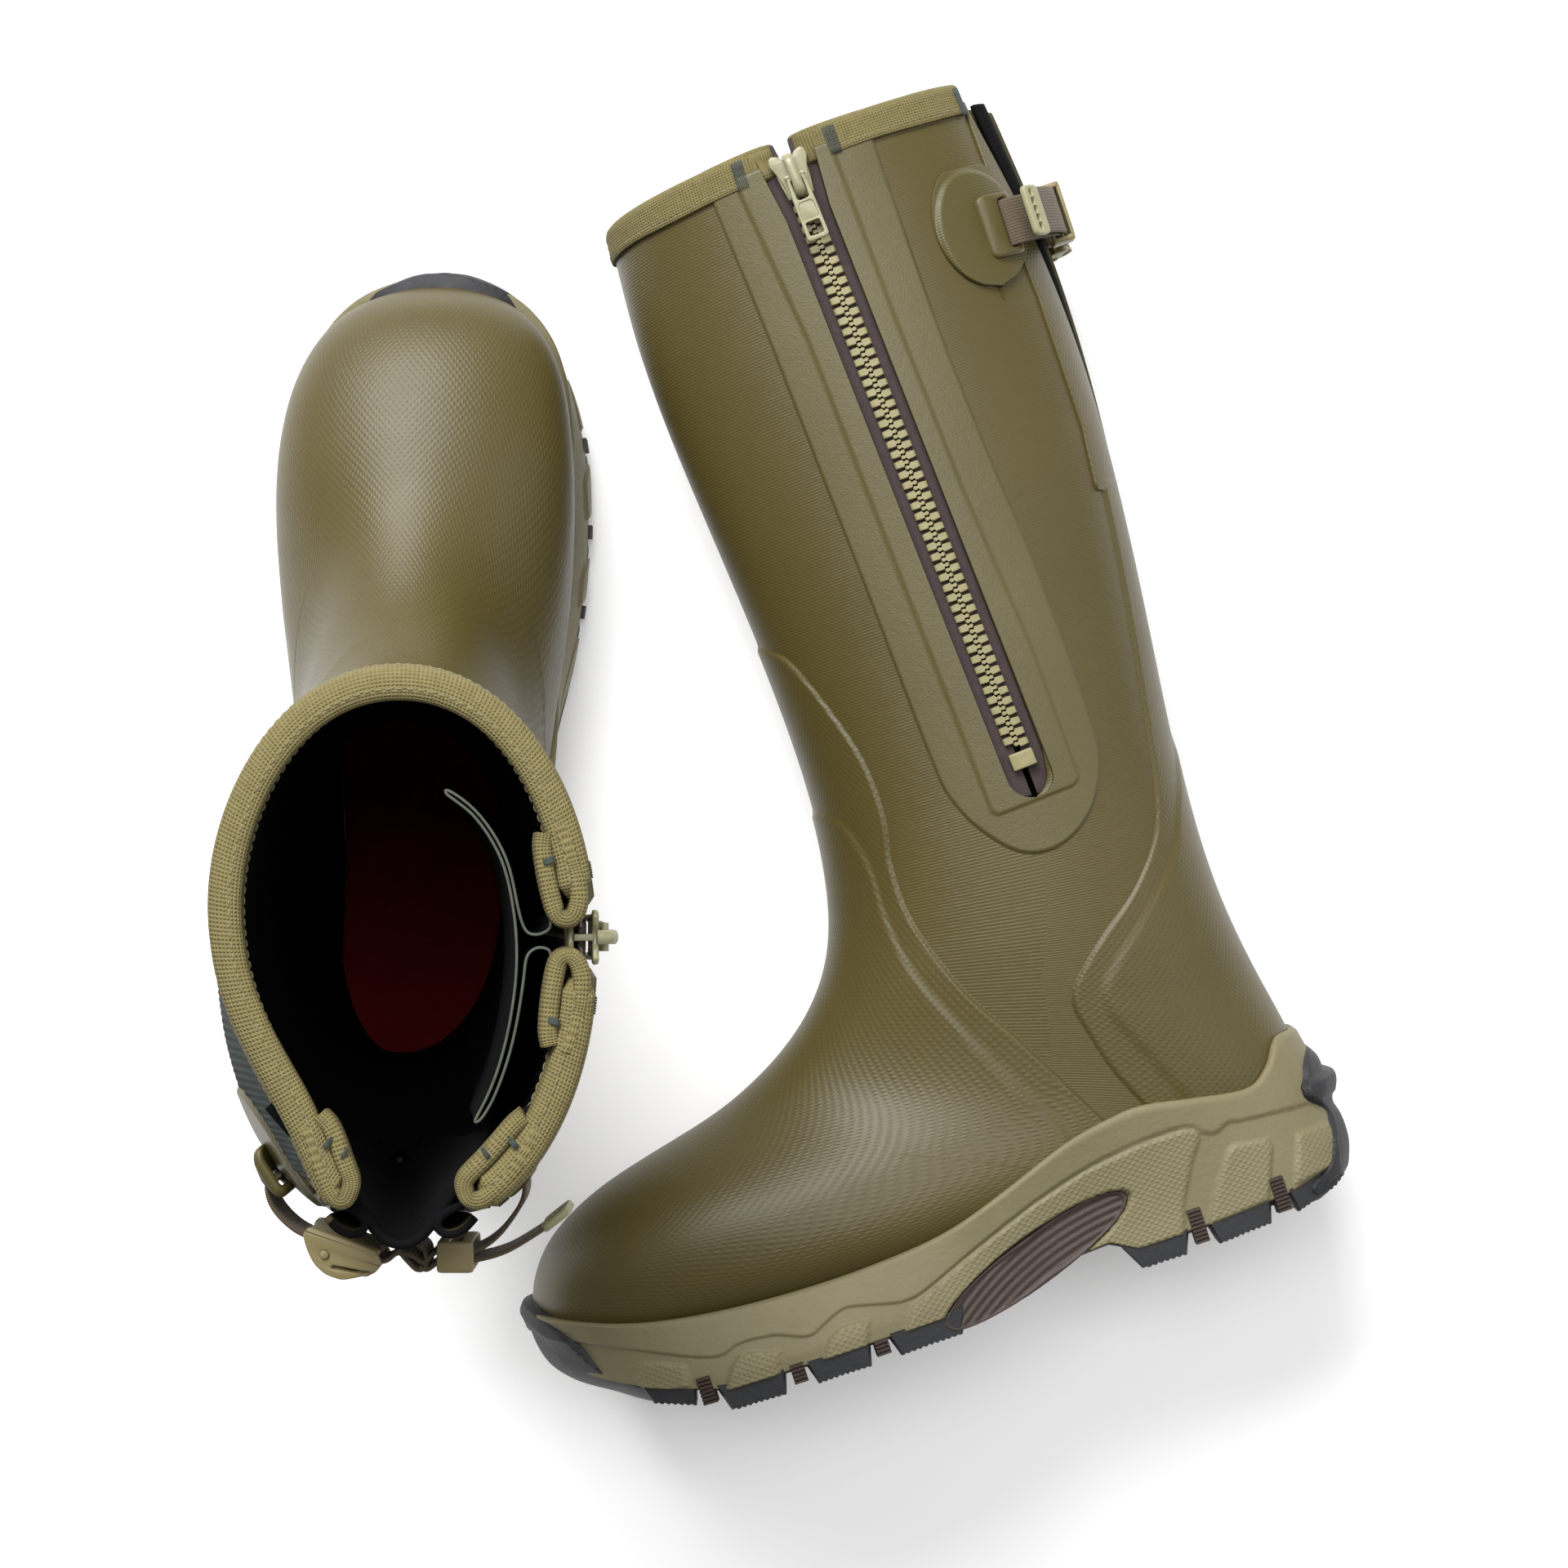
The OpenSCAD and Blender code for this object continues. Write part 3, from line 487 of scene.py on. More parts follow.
# ---- Footbed ----
# A moulded foam insole with a brushed dark red face, a shallow heel cup and an eased edge.
def brushed_red():
    base, deep = (0.34, 0.006, 0.004), (0.24, 0.004, 0.003)
    m = surface_material("footbed_cloth", base, 0.95, sheen=0.05)
    colour_from(m, mottle(m, base, deep, 60.0, 0.7))
    bump_from(m, [(fine_grain(m, 1100, 5.0), 0.0003, 0.8)])
    return m


footbed_cloth = brushed_red()
footbed_rows = [(14, 20), (24, 27), (45, 31.5), (80, 31), (115, 31), (150, 35), (185, 40), (215, 42),
                (240, 41), (262, 36), (278, 27), (287, 16)]
bed_rows, bed_cols = 70, 31
for side in SIDES:
    ys = np.array([r[0] for r in footbed_rows], float)
    fine = np.linspace(ys[0], ys[-1], bed_rows)
    half = np.interp(fine, ys, [r[1] for r in footbed_rows])
    half = np.convolve(np.pad(half, 3, mode="edge"), np.ones(7) / 7, "valid")
    half[0] = half[-1] = 2.0
    middle = np.interp(fine, [20, 110, 220, 290], [-1, 0, 1, 5])
    base = np.interp(fine, [6, 50, 110, 168, 230, 270, 300], [42, 40.5, 39, 35.5, 34.8, 37, 42]) + 2.4
    across = np.linspace(-1, 1, bed_cols)
    cup = np.clip(1 - (fine - 14) / 90, 0, 1)[:, None] * np.abs(across[None, :]) ** 3 * 4.0
    dome = -1.2 * np.clip((np.abs(across) - 0.86) / 0.14, 0, 1) ** 2
    top = np.stack([middle[:, None] + half[:, None] * across, np.repeat(fine[:, None], bed_cols, 1),
                    base[:, None] + 5.0 + cup + dome], -1).reshape(-1, 3)
    low = top.copy()
    low[:, 2] = np.repeat(base, bed_cols) + 0.1
    footbed = piece(side, "footbed", np.concatenate([top, low]), slab_faces(bed_rows, bed_cols),
                    footbed_cloth, ("footbed",))
    face_outward(footbed)


# ---- Overlays of the shell ----
# Cut sheets of rubber laid on the shell before it is cured: two steps over the shin and vamp,
# a two-step heel piece, and a strip up each side of the rear opening. Their edges melt down
# into the skin, so each is a sheet whose height rolls off along its outline.
def eased(points, closed=False, steps=8):
    """A smooth line through given points (y, z)."""
    p = np.asarray(points, float)
    n = len(p)
    ends = range(n if closed else n - 1)
    out = []
    for i in ends:
        q = [p[(i + k) % n] if closed else p[min(max(i + k, 0), n - 1)] for k in (-1, 0, 1, 2)]
        for u in np.linspace(0, 1, steps, endpoint=False):
            out.append(0.5 * (2 * q[1] + (q[2] - q[0]) * u + (2 * q[0] - 5 * q[1] + 4 * q[2] - q[3]) * u ** 2
                              + (3 * (q[1] - q[2]) + q[3] - q[0]) * u ** 3))
    if not closed:
        out.append(p[-1])
    return np.array(out)


def inside_distance(y, z, outline):
    """Distance in mm from the outline's edge, positive inside it."""
    p = np.asarray(outline, float)
    q = np.roll(p, -1, axis=0)
    best = np.full(y.shape, 1e9)
    inside = np.zeros(y.shape, bool)
    for (y0, z0), (y1, z1) in zip(p, q):
        dy, dz = y1 - y0, z1 - z0
        t = np.clip(((y - y0) * dy + (z - z0) * dz) / max(dy * dy + dz * dz, 1e-9), 0, 1)
        best = np.minimum(best, np.hypot(y - y0 - t * dy, z - z0 - t * dz))
        crosses = (z0 > z) != (z1 > z)
        with np.errstate(divide="ignore", invalid="ignore"):
            at = y0 + (z - z0) / (z1 - z0 if z1 != z0 else 1e-9) * dy
        inside ^= crosses & (y < at)
    return np.where(inside, best, -best)


def roll(distance, width):
    """Height share of an edge that rolls off over width mm."""
    t = np.clip(distance / width, 0, 1)
    return t * t * (3 - 2 * t)


def edge_angles(s_rows, line, fallback):
    """Angle at which each ring meets a line of side-view points (y, z); fallback where it misses."""
    out = []
    for s in s_rows:
        q = station(s)
        f, b = q[[0, 1]], q[[2, 3]]
        d = b - f
        hit = None
        for p0, p1 in zip(line[:-1], line[1:]):
            e = p1 - p0
            det = d[0] * -e[1] + d[1] * e[0]
            if abs(det) < 1e-9:
                continue
            r = p0 - f
            t = (r[0] * -e[1] + r[1] * e[0]) / det
            u = (d[0] * r[1] - d[1] * r[0]) / det
            if -0.02 <= u <= 1.02 and 0 <= t <= 1:
                hit = t if hit is None else min(hit, t)
        if hit is None:
            out.append(fallback(s))
            continue
        c = 1 - 2 * hit
        n = 2.1 + (np.clip(s - 9, 0, 3) * 0.3 if c < 0 else 0)
        out.append(math.degrees(math.acos(math.copysign(abs(c) ** (n / 2), c))))
    return np.array(out)


def side_view(s, a):
    """Side-view place (y, z) of surface points, before the shaft slumps."""
    p = skin("plain", s, a)
    return p[..., 1], p[..., 2]


def laid_sheet(side, name, s_rows, low, high, cols, height, material, nodes, sunk=0.7):
    """A closed sheet on the shell between two angles on each ring; height(y, z, a) is its lift."""
    t = 0.5 - 0.5 * np.cos(np.linspace(0, np.pi, cols))
    a = low[:, None] + (high - low)[:, None] * t[None, :]
    s = np.repeat(s_rows[:, None], cols, 1)
    y, z = side_view(s, a)
    top = skin(side, s, a, -height(y, z, a))
    under = skin(side, s, a, sunk(y, z, a) if callable(sunk) else sunk)
    along = np.cumsum(np.r_[0, np.linalg.norm(np.diff(top[:, cols // 2], axis=0), axis=1)])
    uv = np.stack([a / 360 * girth_mm, np.repeat(along[:, None], cols, 1)], -1).reshape(-1, 2)
    obj = piece(side, name, np.concatenate([top.reshape(-1, 3), under.reshape(-1, 3)]),
                slab_faces(len(s_rows), cols), material, nodes, np.concatenate([uv, uv]))
    return face_outward(obj)


overlay_rubber = rubber_skin("overlay_rubber", OLIVE, OLIVE_DEEP, "mesh")
shin_line = eased([(158, 272), (153, 266), (146, 259), (138, 239), (131, 214), (130, 191), (133, 173),
                   (132, 150), (122, 121), (108, 97), (88, 60), (78, 42), (70, 20)])
vamp_line = eased([(157, 203), (151, 199), (144, 192), (140, 175), (140, 152), (136, 129), (123, 99),
                   (115, 83), (104, 62), (96, 42), (90, 20)])
shin_sheet = np.concatenate([shin_line, [(70, -20), (360, -20), (360, 120), (200, 290), (165, 272)]])
vamp_sheet = np.concatenate([vamp_line, [(90, -20), (360, -20), (360, 120), (200, 290), (163, 203)]])
heel_line = eased([(17, 452), (15, 400), (12, 360), (11.5, 308), (17, 252), (25, 199), (33, 160),
                   (48, 139), (69, 123), (83, 110), (86, 102), (84, 92), (79, 74), (68, 50), (60, 30)])
heel_ridge = eased([(14, 195), (20, 172), (26, 158), (33, 144), (48, 129), (68, 112), (74, 104),
                    (74, 96), (70, 86), (61, 66), (52, 45), (46, 25)])
heel_sheet = np.concatenate([heel_line, [(60, -20), (-60, -20), (-60, 452)]])
heel_step = np.concatenate([heel_ridge, [(46, -20), (-60, -20), (-60, 195)]])
strip_line = np.array([(17, 452), (15, 400), (12, 360), (11.5, 308), (14, 282)], float)
edge_roll = 1.6


def shin_height(y, z, a):
    toe_fade = 1 - 0.75 * np.clip((y - 190) / 70, 0, 1)
    return (1.1 * roll(inside_distance(y, z, shin_sheet), edge_roll)
            + 0.9 * roll(inside_distance(y, z, vamp_sheet), edge_roll)) * toe_fade


def heel_height(y, z, a):
    return 1.1 * roll(inside_distance(y, z, heel_sheet), edge_roll) \
        + 0.9 * roll(inside_distance(y, z, heel_step), edge_roll)


for side in SIDES:
    rows = np.r_[np.linspace(4.55, 10, 130), np.linspace(10.04, toe_s - 0.02, 110)]
    reach = edge_angles(rows, shin_line, lambda s: 6.0 if s < 6 else 150.0)
    laid_sheet(side, "shin_overlay", rows, -reach, reach, 110, shin_height, overlay_rubber,
               ("shin_overlay",))
    top_s = ring_at_height(boot_height - gusset_depth + 1, 1)
    rows = np.linspace(top_s, 11.6, 150)
    reach = edge_angles(rows, heel_line, lambda s: 110.0 if s > 9 else 172.0)
    laid_sheet(side, "heel_overlay", rows, reach, 360 - reach, 90, heel_height, overlay_rubber,
               ("heel_overlay",))
    rows = np.linspace(rim_s + 0.15, top_s + 0.12, 60)
    reach = edge_angles(rows, strip_line, lambda s: 165.0)
    back = rear_angle(rows)
    for end, (low, high) in enumerate(((reach - 3, 180 - back), (180 + back, 363 - reach))):
        strip = laid_sheet(side, f"back_strip_{end + 1}", rows, low, high, 12,
                           lambda y, z, a: 1.1 + 0 * y, overlay_rubber, ())
        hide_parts(f"{side}_back_strip")


# ---- Zip placket ----
# A U-shaped facing of smoother, leather-grained rubber round the zip, with a second raised
# rectangle inside it where the zip tape is bonded down.
def grained_rubber(name, base, deep):
    m = surface_material(name, base, 0.44, coat=0.05, specular=0.4)
    m.node_tree.nodes["Principled BSDF"].inputs["Coat Roughness"].default_value = 0.4
    colour_from(m, mottle(m, base, deep, 14.0, 0.6))
    cells = add_node(m, "ShaderNodeTexVoronoi", {"Vector": coordinates(m), "Scale": 900.0},
                     feature="DISTANCE_TO_EDGE").outputs["Distance"]
    bump_from(m, [(cells, 0.00022, 0.5), (fine_grain(m, 420), 0.00025, 0.45)])
    roughness_from(m, fine_grain(m, 30), 0.38, 0.5)
    return m


placket_rubber = grained_rubber("placket_rubber", (0.094, 0.078, 0.026), (0.074, 0.061, 0.020))
placket_front = [(121.7, 450), (121.5, 431), (117.5, 379), (114.5, 327), (111.5, 275), (108, 205)]
placket_rear = [(45.5, 205), (47.5, 264), (51.2, 307), (54.5, 360), (56, 431), (56, 450)]
placket_foot = [(105, 188), (98.5, 175), (88, 163.5), (76.5, 160), (64, 163.5), (53.5, 173), (47, 187)]
placket_outline = eased(placket_front + placket_foot + placket_rear, steps=6)
ridge_outline = np.array([(112, 450), (110.6, 431), (103.3, 369), (97, 260), (92.7, 181), (90.5, 178.5),
                          (60, 180.5), (57.2, 183), (59, 235), (65.1, 298.8), (69.5, 370), (72, 431),
                          (73, 450)])


def placket_height(y, z, a):
    return 1.15 * roll(inside_distance(y, z, placket_outline), 1.8) \
        + 0.75 * roll(inside_distance(y, z, ridge_outline), 1.2)


placket_s = (rim_s + 0.15, ring_at_height(196, 0), ring_at_height(157, 0) + 0.5)
for side in SIDES:
    rows = np.r_[np.linspace(placket_s[0], 5.8, 120), np.linspace(5.82, 7.6, 130)]
    z_mid = skin("plain", rows, 90.0)[:, 2]
    reach = []
    for s in rows:
        a = np.linspace(30, 150, 481)
        y, z = side_view(s, a)
        hit = a[inside_distance(y, z, placket_outline) > 0]
        reach.append((hit.min(), hit.max()) if len(hit) > 1 else None)
    keep = [i for i, r in enumerate(reach) if r]
    rows, z_mid = rows[keep], z_mid[keep]
    reach = np.array([reach[i] for i in keep])
    half = slot_gap(rows)
    front_edge, rear_edge = angle_of_y(rows, zip_y(z_mid) + half), angle_of_y(rows, zip_y(z_mid) - half)
    for end, (low, high) in enumerate(((reach[:, 0], front_edge), (rear_edge, reach[:, 1]))):
        high = np.maximum(high, low)
        laid_sheet(side, f"zip_placket_{end + 1}", rows, low, high, 44, placket_height, placket_rubber,
                   ("zip_placket",))

# ---- Zip ----
# Moulded-tooth chain on a dark twill tape. The teeth are closed below the slider; above it the
# two tapes run apart into the binding. The slider has a cast bridge and a flat cranked puller.
tooth_pitch, slider_at = 4.1, 226.741
hinge_at = (7.2, 0.0, 8.0)


def zip_frame(side, along=0.0):
    """Maps (out, across, up) in mm on the zip line into the boot frame."""
    def on_side(y, z):
        c = abs(y - 83.5) / 69.5
        slump = max(0, z - ankle_z) / (boot_height - ankle_z)
        x = (shaft_half(z) - shell_t) * (1 - c ** 2.1) ** (1 / 2.1)
        return Vector((x + LEAN[side][0] * slump, y + LEAN[side][1] * slump, z))

    low, high = on_side(zip_low_y, zip_low), on_side(zip_top_y, zip_high)
    d = high - low
    turn = (Matrix.Rotation(math.atan2(d.x, d.z), 4, "Y")
            @ Matrix.Rotation(-math.asin(d.y / d.length), 4, "X"))
    matrix = np.array(Matrix.Translation(low) @ turn @ Matrix.Translation((0, 0, along)))

    def mapped(points):
        p = np.asarray(points, float).reshape(-1, 3)
        return p @ matrix[:3, :3].T + matrix[:3, 3]
    return mapped


def flat_plate(outlines, thickness, bevel=0.25):
    """A plate cut to outlines (holes too) in its own XY plane, with rounded edges."""
    data = bpy.data.curves.new("plate", "CURVE")
    data.dimensions, data.fill_mode = "2D", "BOTH"
    data.extrude = thickness / 2 - bevel
    data.bevel_depth, data.bevel_resolution, data.offset = bevel, 1, -bevel
    for outline in outlines:
        spline = data.splines.new("POLY")
        spline.points.add(len(outline) - 1)
        for k, (x, y) in enumerate(outline):
            spline.points[k].co = (x, y, 0, 1)
        spline.use_cyclic_u = True
    obj = bpy.data.objects.new("plate", data)
    bpy.context.scene.collection.objects.link(obj)
    mesh = bpy.data.meshes.new_from_object(obj.evaluated_get(bpy.context.evaluated_depsgraph_get()))
    bpy.data.objects.remove(obj)
    points = np.array([v.co[:] for v in mesh.vertices])
    welded, place_of = np.unique(np.round(points, 4), axis=0, return_inverse=True)
    place_of = place_of.reshape(-1)
    faces = []
    for polygon in mesh.polygons:
        loop = [int(place_of[i]) for i in polygon.vertices]
        loop = [v for k, v in enumerate(loop) if v != loop[k - 1]]
        if len(set(loop)) > 2:
            faces.append(tuple(loop))
    bpy.data.meshes.remove(mesh)
    bpy.data.curves.remove(data)
    return welded, faces


def rounded(points, radius=1.0, steps=4):
    """Outline with its corners rounded."""
    p = [Vector(q) for q in points]
    out = []
    for k, corner in enumerate(p):
        a, b = p[k - 1] - corner, p[(k + 1) % len(p)] - corner
        r = min(radius, a.length / 2.01, b.length / 2.01)
        start, end = corner + a.normalized() * r, corner + b.normalized() * r
        for t in np.linspace(0, 1, steps + 1):
            q = start * (1 - t) ** 2 + corner * 2 * t * (1 - t) + end * t ** 2
            out.append((q.x, q.y))
    return out


def rounded_box(x0, y0, x1, y1, radius=1.0, steps=4):
    return rounded([(x0, y0), (x1, y0), (x1, y1), (x0, y1)], radius, steps)


def oval(x, y, rx, ry, count):
    return [(x + rx * math.cos(t), y + ry * math.sin(t))
            for t in np.linspace(0, 2 * np.pi, count, endpoint=False)]


def merged(parts):
    """Joins (points, faces) pieces into one."""
    points, faces, n = [], [], 0
    for p, f in parts:
        p = np.asarray(p, float).reshape(-1, 3)
        points.append(p)
        faces += [tuple(i + n for i in face) for face in f]
        n += len(p)
    return np.concatenate(points), faces


def tube(path, section, closed=False, spin=None):
    """A closed section (x, y) swept along a path; spin gives each point's 'up' direction."""
    path = np.asarray(path, float)
    section = np.asarray(section, float)
    m, n = len(path), len(section)
    tangent = np.gradient(path, axis=0) if not closed else np.roll(path, -1, 0) - np.roll(path, 1, 0)
    tangent /= np.linalg.norm(tangent, axis=1)[:, None]
    up = np.asarray(spin, float) if spin is not None else np.array([0.0, 0, 1])
    up = np.broadcast_to(up, path.shape).copy()
    up -= tangent * np.sum(up * tangent, 1)[:, None]
    up /= np.linalg.norm(up, axis=1)[:, None]
    side_way = np.cross(up, tangent)
    points = (path[:, None] + section[None, :, :1] * side_way[:, None]
              + section[None, :, 1:] * up[:, None])
    faces = [(i * n + j, i * n + (j + 1) % n, ((i + 1) % m) * n + (j + 1) % n, ((i + 1) % m) * n + j)
             for i in range(m if closed else m - 1) for j in range(n)]
    if not closed:
        faces += [tuple(range(n - 1, -1, -1)), tuple((m - 1) * n + j for j in range(n))]
    return points.reshape(-1, 3), faces


def round_section(rx, ry=None, sides=12):
    a = np.linspace(0, 2 * np.pi, sides, endpoint=False)
    return np.stack([rx * np.cos(a), (ry or rx) * np.sin(a)], 1)


def swap(points, order):
    """The points with their axes taken in another order."""
    return np.asarray(points, float)[:, list(order)]


# Zip tapes
zip_tape = surface_material("zip_tape", (0.052, 0.041, 0.032), 0.85, specular=0.3)
colour_from(zip_tape, mottle(zip_tape, (0.068, 0.048, 0.044), (0.035, 0.026, 0.030), 300.0, 0.9))
tape_uv = coordinates(zip_tape, uv=True)
twill = combine(zip_tape, ribs(zip_tape, tape_uv, 0, 0.55), ribs(zip_tape, tape_uv, 1, 0.8))
bump_from(zip_tape, [(twill, 0.00022, 0.8)])
for side in SIDES:
    rows = np.linspace(rim_s - 0.02, ring_at_height(zip_low - 9, 0), 190)
    z_mid = skin("plain", rows, 90.0)[:, 2]
    for end, sign in enumerate((1, -1)):
        apart = 1.2 + 2.4 * np.clip((z_mid - (zip_low + slider_at + 6)) / 20, 0, 1)
        inner = angle_of_y(rows, zip_y(z_mid) + sign * apart)
        outer = angle_of_y(rows, zip_y(z_mid) + sign * 14.0)
        low, high = (outer, inner) if sign > 0 else (inner, outer)
        laid_sheet(side, f"zip_tape_{end + 1}", rows, low, high, 14, lambda y, z, a: -2.45 + 0 * y,
                   zip_tape, ("zip_tapes",), sunk=3.1)

# Teeth: each has a wide foot on the tape, a narrow neck and a round head between its neighbours
zip_plastic = surface_material("zip_plastic", (0.262, 0.232, 0.108), 0.42)
colour_from(zip_plastic, mottle(zip_plastic, (0.262, 0.232, 0.108), (0.205, 0.180, 0.080), 500.0, 0.5))
bump_from(zip_plastic, [(fine_grain(zip_plastic, 700), 0.00006, 0.5)])
head = [(0.85 * math.sin(t), -0.35 - 0.85 * math.cos(t)) for t in np.radians(np.linspace(-140, 140, 11))]
tooth_outline = head[::-1] + [(-0.62, 0.8), (-1.5, 1.25), (-1.42, 3.2), (-1.2, 4.5),
                              (1.2, 4.5), (1.42, 3.2), (1.5, 1.25), (0.62, 0.8)]


def tooth():
    base = np.array(tooth_outline)
    middle = base.mean(0)
    rings = [(base, 0.0), (base, 1.9), (middle + (base - middle) * 0.94, 2.25),
             (middle + (base - middle) * 0.8, 2.45)]
    n = len(base)
    points = np.concatenate([np.stack([np.full(n, x), ring[:, 1], ring[:, 0]], 1) for ring, x in rings])
    return points, prism_faces(4, n)


tooth_points, tooth_faces = tooth()
for side in SIDES:
    mapped = zip_frame(side)
    parts = []
    for i in range(int((slider_at - 9) / tooth_pitch) + 1):
        for half in (0, 1):
            sign = 1 if half else -1
            p = tooth_points * (1, sign, 1) + (0.15, 0, 8.2 + (i + half / 2) * tooth_pitch)
            parts.append((mapped(p), tooth_faces if sign > 0 else [f[::-1] for f in tooth_faces]))
    points, faces = merged(parts)
    face_outward(piece(side, "zip_teeth", points, faces, zip_plastic, ("zip_teeth",),
                       smooth=False))
    block = flat_plate([rounded_box(-4.6, -1.2, 4.6, 5.2, 0.7)], 3.2, 0.45)
    face_outward(piece(side, "zip_stop", mapped(swap(block[0], (2, 0, 1)) + (1.75, 0, 0)), block[1],
                       zip_plastic, ("zip_stop",)))

# Slider and puller, coated metal
slider_coat = surface_material("slider_coat", (0.255, 0.240, 0.135), 0.36, coat=0.35)
slider_coat.node_tree.nodes["Principled BSDF"].inputs["Coat Roughness"].default_value = 0.3
colour_from(slider_coat, mottle(slider_coat, (0.262, 0.248, 0.142), (0.225, 0.210, 0.112), 240.0, 0.5))
roughness_from(slider_coat, fine_grain(slider_coat, 260), 0.3, 0.46)
bump_from(slider_coat, [(fine_grain(slider_coat, 500), 0.00005, 0.5)])
half_wing = [(4.2, 0.0), (4.7, 0.8), (4.9, 6.0), (6.2, 11.0), (7.5, 14.6), (7.2, 17.0), (5.8, 18.0),
             (3.4, 17.2), (1.6, 15.4)]
wings = rounded([(-x, z) for x, z in half_wing[::-1]] + half_wing, 0.6, 3)
for side in SIDES:
    mapped = zip_frame(side, slider_at)
    parts = []
    top_plate = flat_plate([wings], 1.7, 0.5)
    parts.append((swap(top_plate[0], (2, 0, 1)) + (3.95, 0, 0), top_plate[1]))
    back_plate = flat_plate([wings], 1.5, 0.5)
    parts.append((swap(back_plate[0], (2, 0, 1)) * (1, 0.9, 0.94) + (-2.6, 0, 0.6), back_plate[1]))
    for sign in (-1, 1):
        flange = flat_plate([rounded([(0.9, 0.5), (3.6, 0.5), (3.6, 10.5), (0.9, 9.5)], 0.5)], 0.9, 0.3)
        q = swap(flange[0], (0, 2, 1))
        q[:, 1] += sign * (4.6 + np.clip((q[:, 2] - 5) / 6, 0, 1) * 1.4)
        parts.append((q, flange[1]))
    post = flat_plate([rounded_box(-1.0, 12.2, 1.0, 16, 0.4)], 5.2, 0.2)
    parts.append((swap(post[0], (2, 0, 1)) + (0.8, 0, 0), post[1]))
    bow = eased([(4.4, 16.2), (7.4, 15.7), (9.3, 13.4), (9.75, 8.0), (9.3, 3.2), (7.6, 1.2), (4.4, 0.8)],
                steps=6)
    bow_path = np.stack([bow[:, 0], 0 * bow[:, 0], bow[:, 1]], 1)
    parts.append(tube(bow_path, round_section(0.95, 1.95, 14), spin=(0, 1, 0)))
    points, faces = merged(parts)
    face_outward(piece(side, "zip_slider", mapped(points), faces, slider_coat, ("zip_slider",),
                       part_of="zip_slider_body"))
    rim_line = rounded([(-4.3, -25.2), (4.3, -25.2), (4.1, -9.0), (3.5, 0.9), (-3.5, 0.9), (-4.1, -9.0)],
                       1.6)
    eye = rounded_box(-2.3, -9.4, 2.3, -1.3, 1.2)
    hole = rounded_box(-2.7, -23.4, 2.7, -18.2, 0.8)
    recess = rounded([(-3.1, -17.2), (3.1, -17.2), (3.0, -12.0), (2.3, -10.6), (-2.3, -10.6), (-3.0, -12.0)],
                     1.0)
    parts = []
    for outlines, thickness, bevel in (([rim_line, eye, hole], 1.0, 0.2),
                                       ([rim_line, eye, hole, recess], 1.7, 0.35)):
        sheet = flat_plate(outlines, thickness, bevel)
        parts.append((swap(sheet[0], (2, 0, 1)) + hinge_at, sheet[1]))
    parts.append(tube([(hinge_at[0], y, hinge_at[2]) for y in (-3.9, -3.6, 0, 3.6, 3.9)],
                      round_section(1.05), spin=(0, 0, 1)))
    points, faces = merged(parts)
    face_outward(piece(side, "zip_puller", mapped(points), faces, slider_coat, ("zip_puller",),
                       part_of="zip_puller_body"))

# ---- Zip bellows ----
# A folded flap of neoprene behind the zip keeps water out when it is open. Its bound top edge
# stands inside the shaft: out from the tapes, along the lining both ways, and back in two hairpins.
piping_cloth = surface_material("piping_cloth", (0.150, 0.160, 0.130), 0.85, specular=0.2)
colour_from(piping_cloth, mottle(piping_cloth, (0.100, 0.108, 0.086), (0.060, 0.066, 0.052), 300.0, 0.7))
bellows_line = eased([(6.5, 9.8), (3, 10.5), (1.5, 14), (3.5, 17), (12, 18.6), (30, 19.6), (48, 22.5),
                      (62, 26.2), (62.5, 27.4), (58, 26.4), (48, 23.8), (30, 20.9), (12, 19.9), (0, 19.5),
                      (-12, 19.4), (-28, 19.6), (-46, 19.4), (-63, 18.6), (-63.5, 17.4), (-58, 17.2),
                      (-46, 17.6), (-28, 17.7), (-14, 17.3), (-6, 16.6), (-3, 14), (-3.5, 10.8),
                      (-6.5, 9.8)], steps=5)


def thickened(grid, thickness):
    """Two copies of a grid of points, half the thickness to each side along its level normals."""
    across = np.gradient(grid, axis=1)
    normal = np.stack([-across[..., 1], across[..., 0], 0 * across[..., 0]], -1)
    normal /= np.linalg.norm(normal, axis=-1)[..., None] + 1e-9
    half = normal * thickness / 2
    return np.concatenate([(grid + half).reshape(-1, 3), (grid - half).reshape(-1, 3)])


for side in SIDES:
    rows = np.linspace(rim_s + 0.34, ring_at_height(172, 0), 60)
    z_mid = skin("plain", rows, 90.0)[:, 2]
    share = np.clip((z_mid - 180) / 190, 0, 1) ** 0.7
    columns = []
    for reach, inset in bellows_line:
        y = zip_y(z_mid) + reach * (0.62 + 0.38 * share)
        off = 9.4 + (inset - 9.4) * (0.12 + 0.88 * share) * (0.22 + 0.78 * share)
        columns.append(skin(side, rows, angle_of_y(rows, y), off))
    grid = np.stack(columns, 1)
    flap = piece(side, "zip_bellows", thickened(grid, 0.7), slab_faces(*grid.shape[:2]), neoprene,
                 ("zip_bellows",))
    face_outward(flap)
    points, faces = tube(grid[0] + [0, 0, 0.3], round_section(0.42), spin=(0, 0, 1))
    face_outward(piece(side, "bellows_piping", points, faces, piping_cloth, ()))

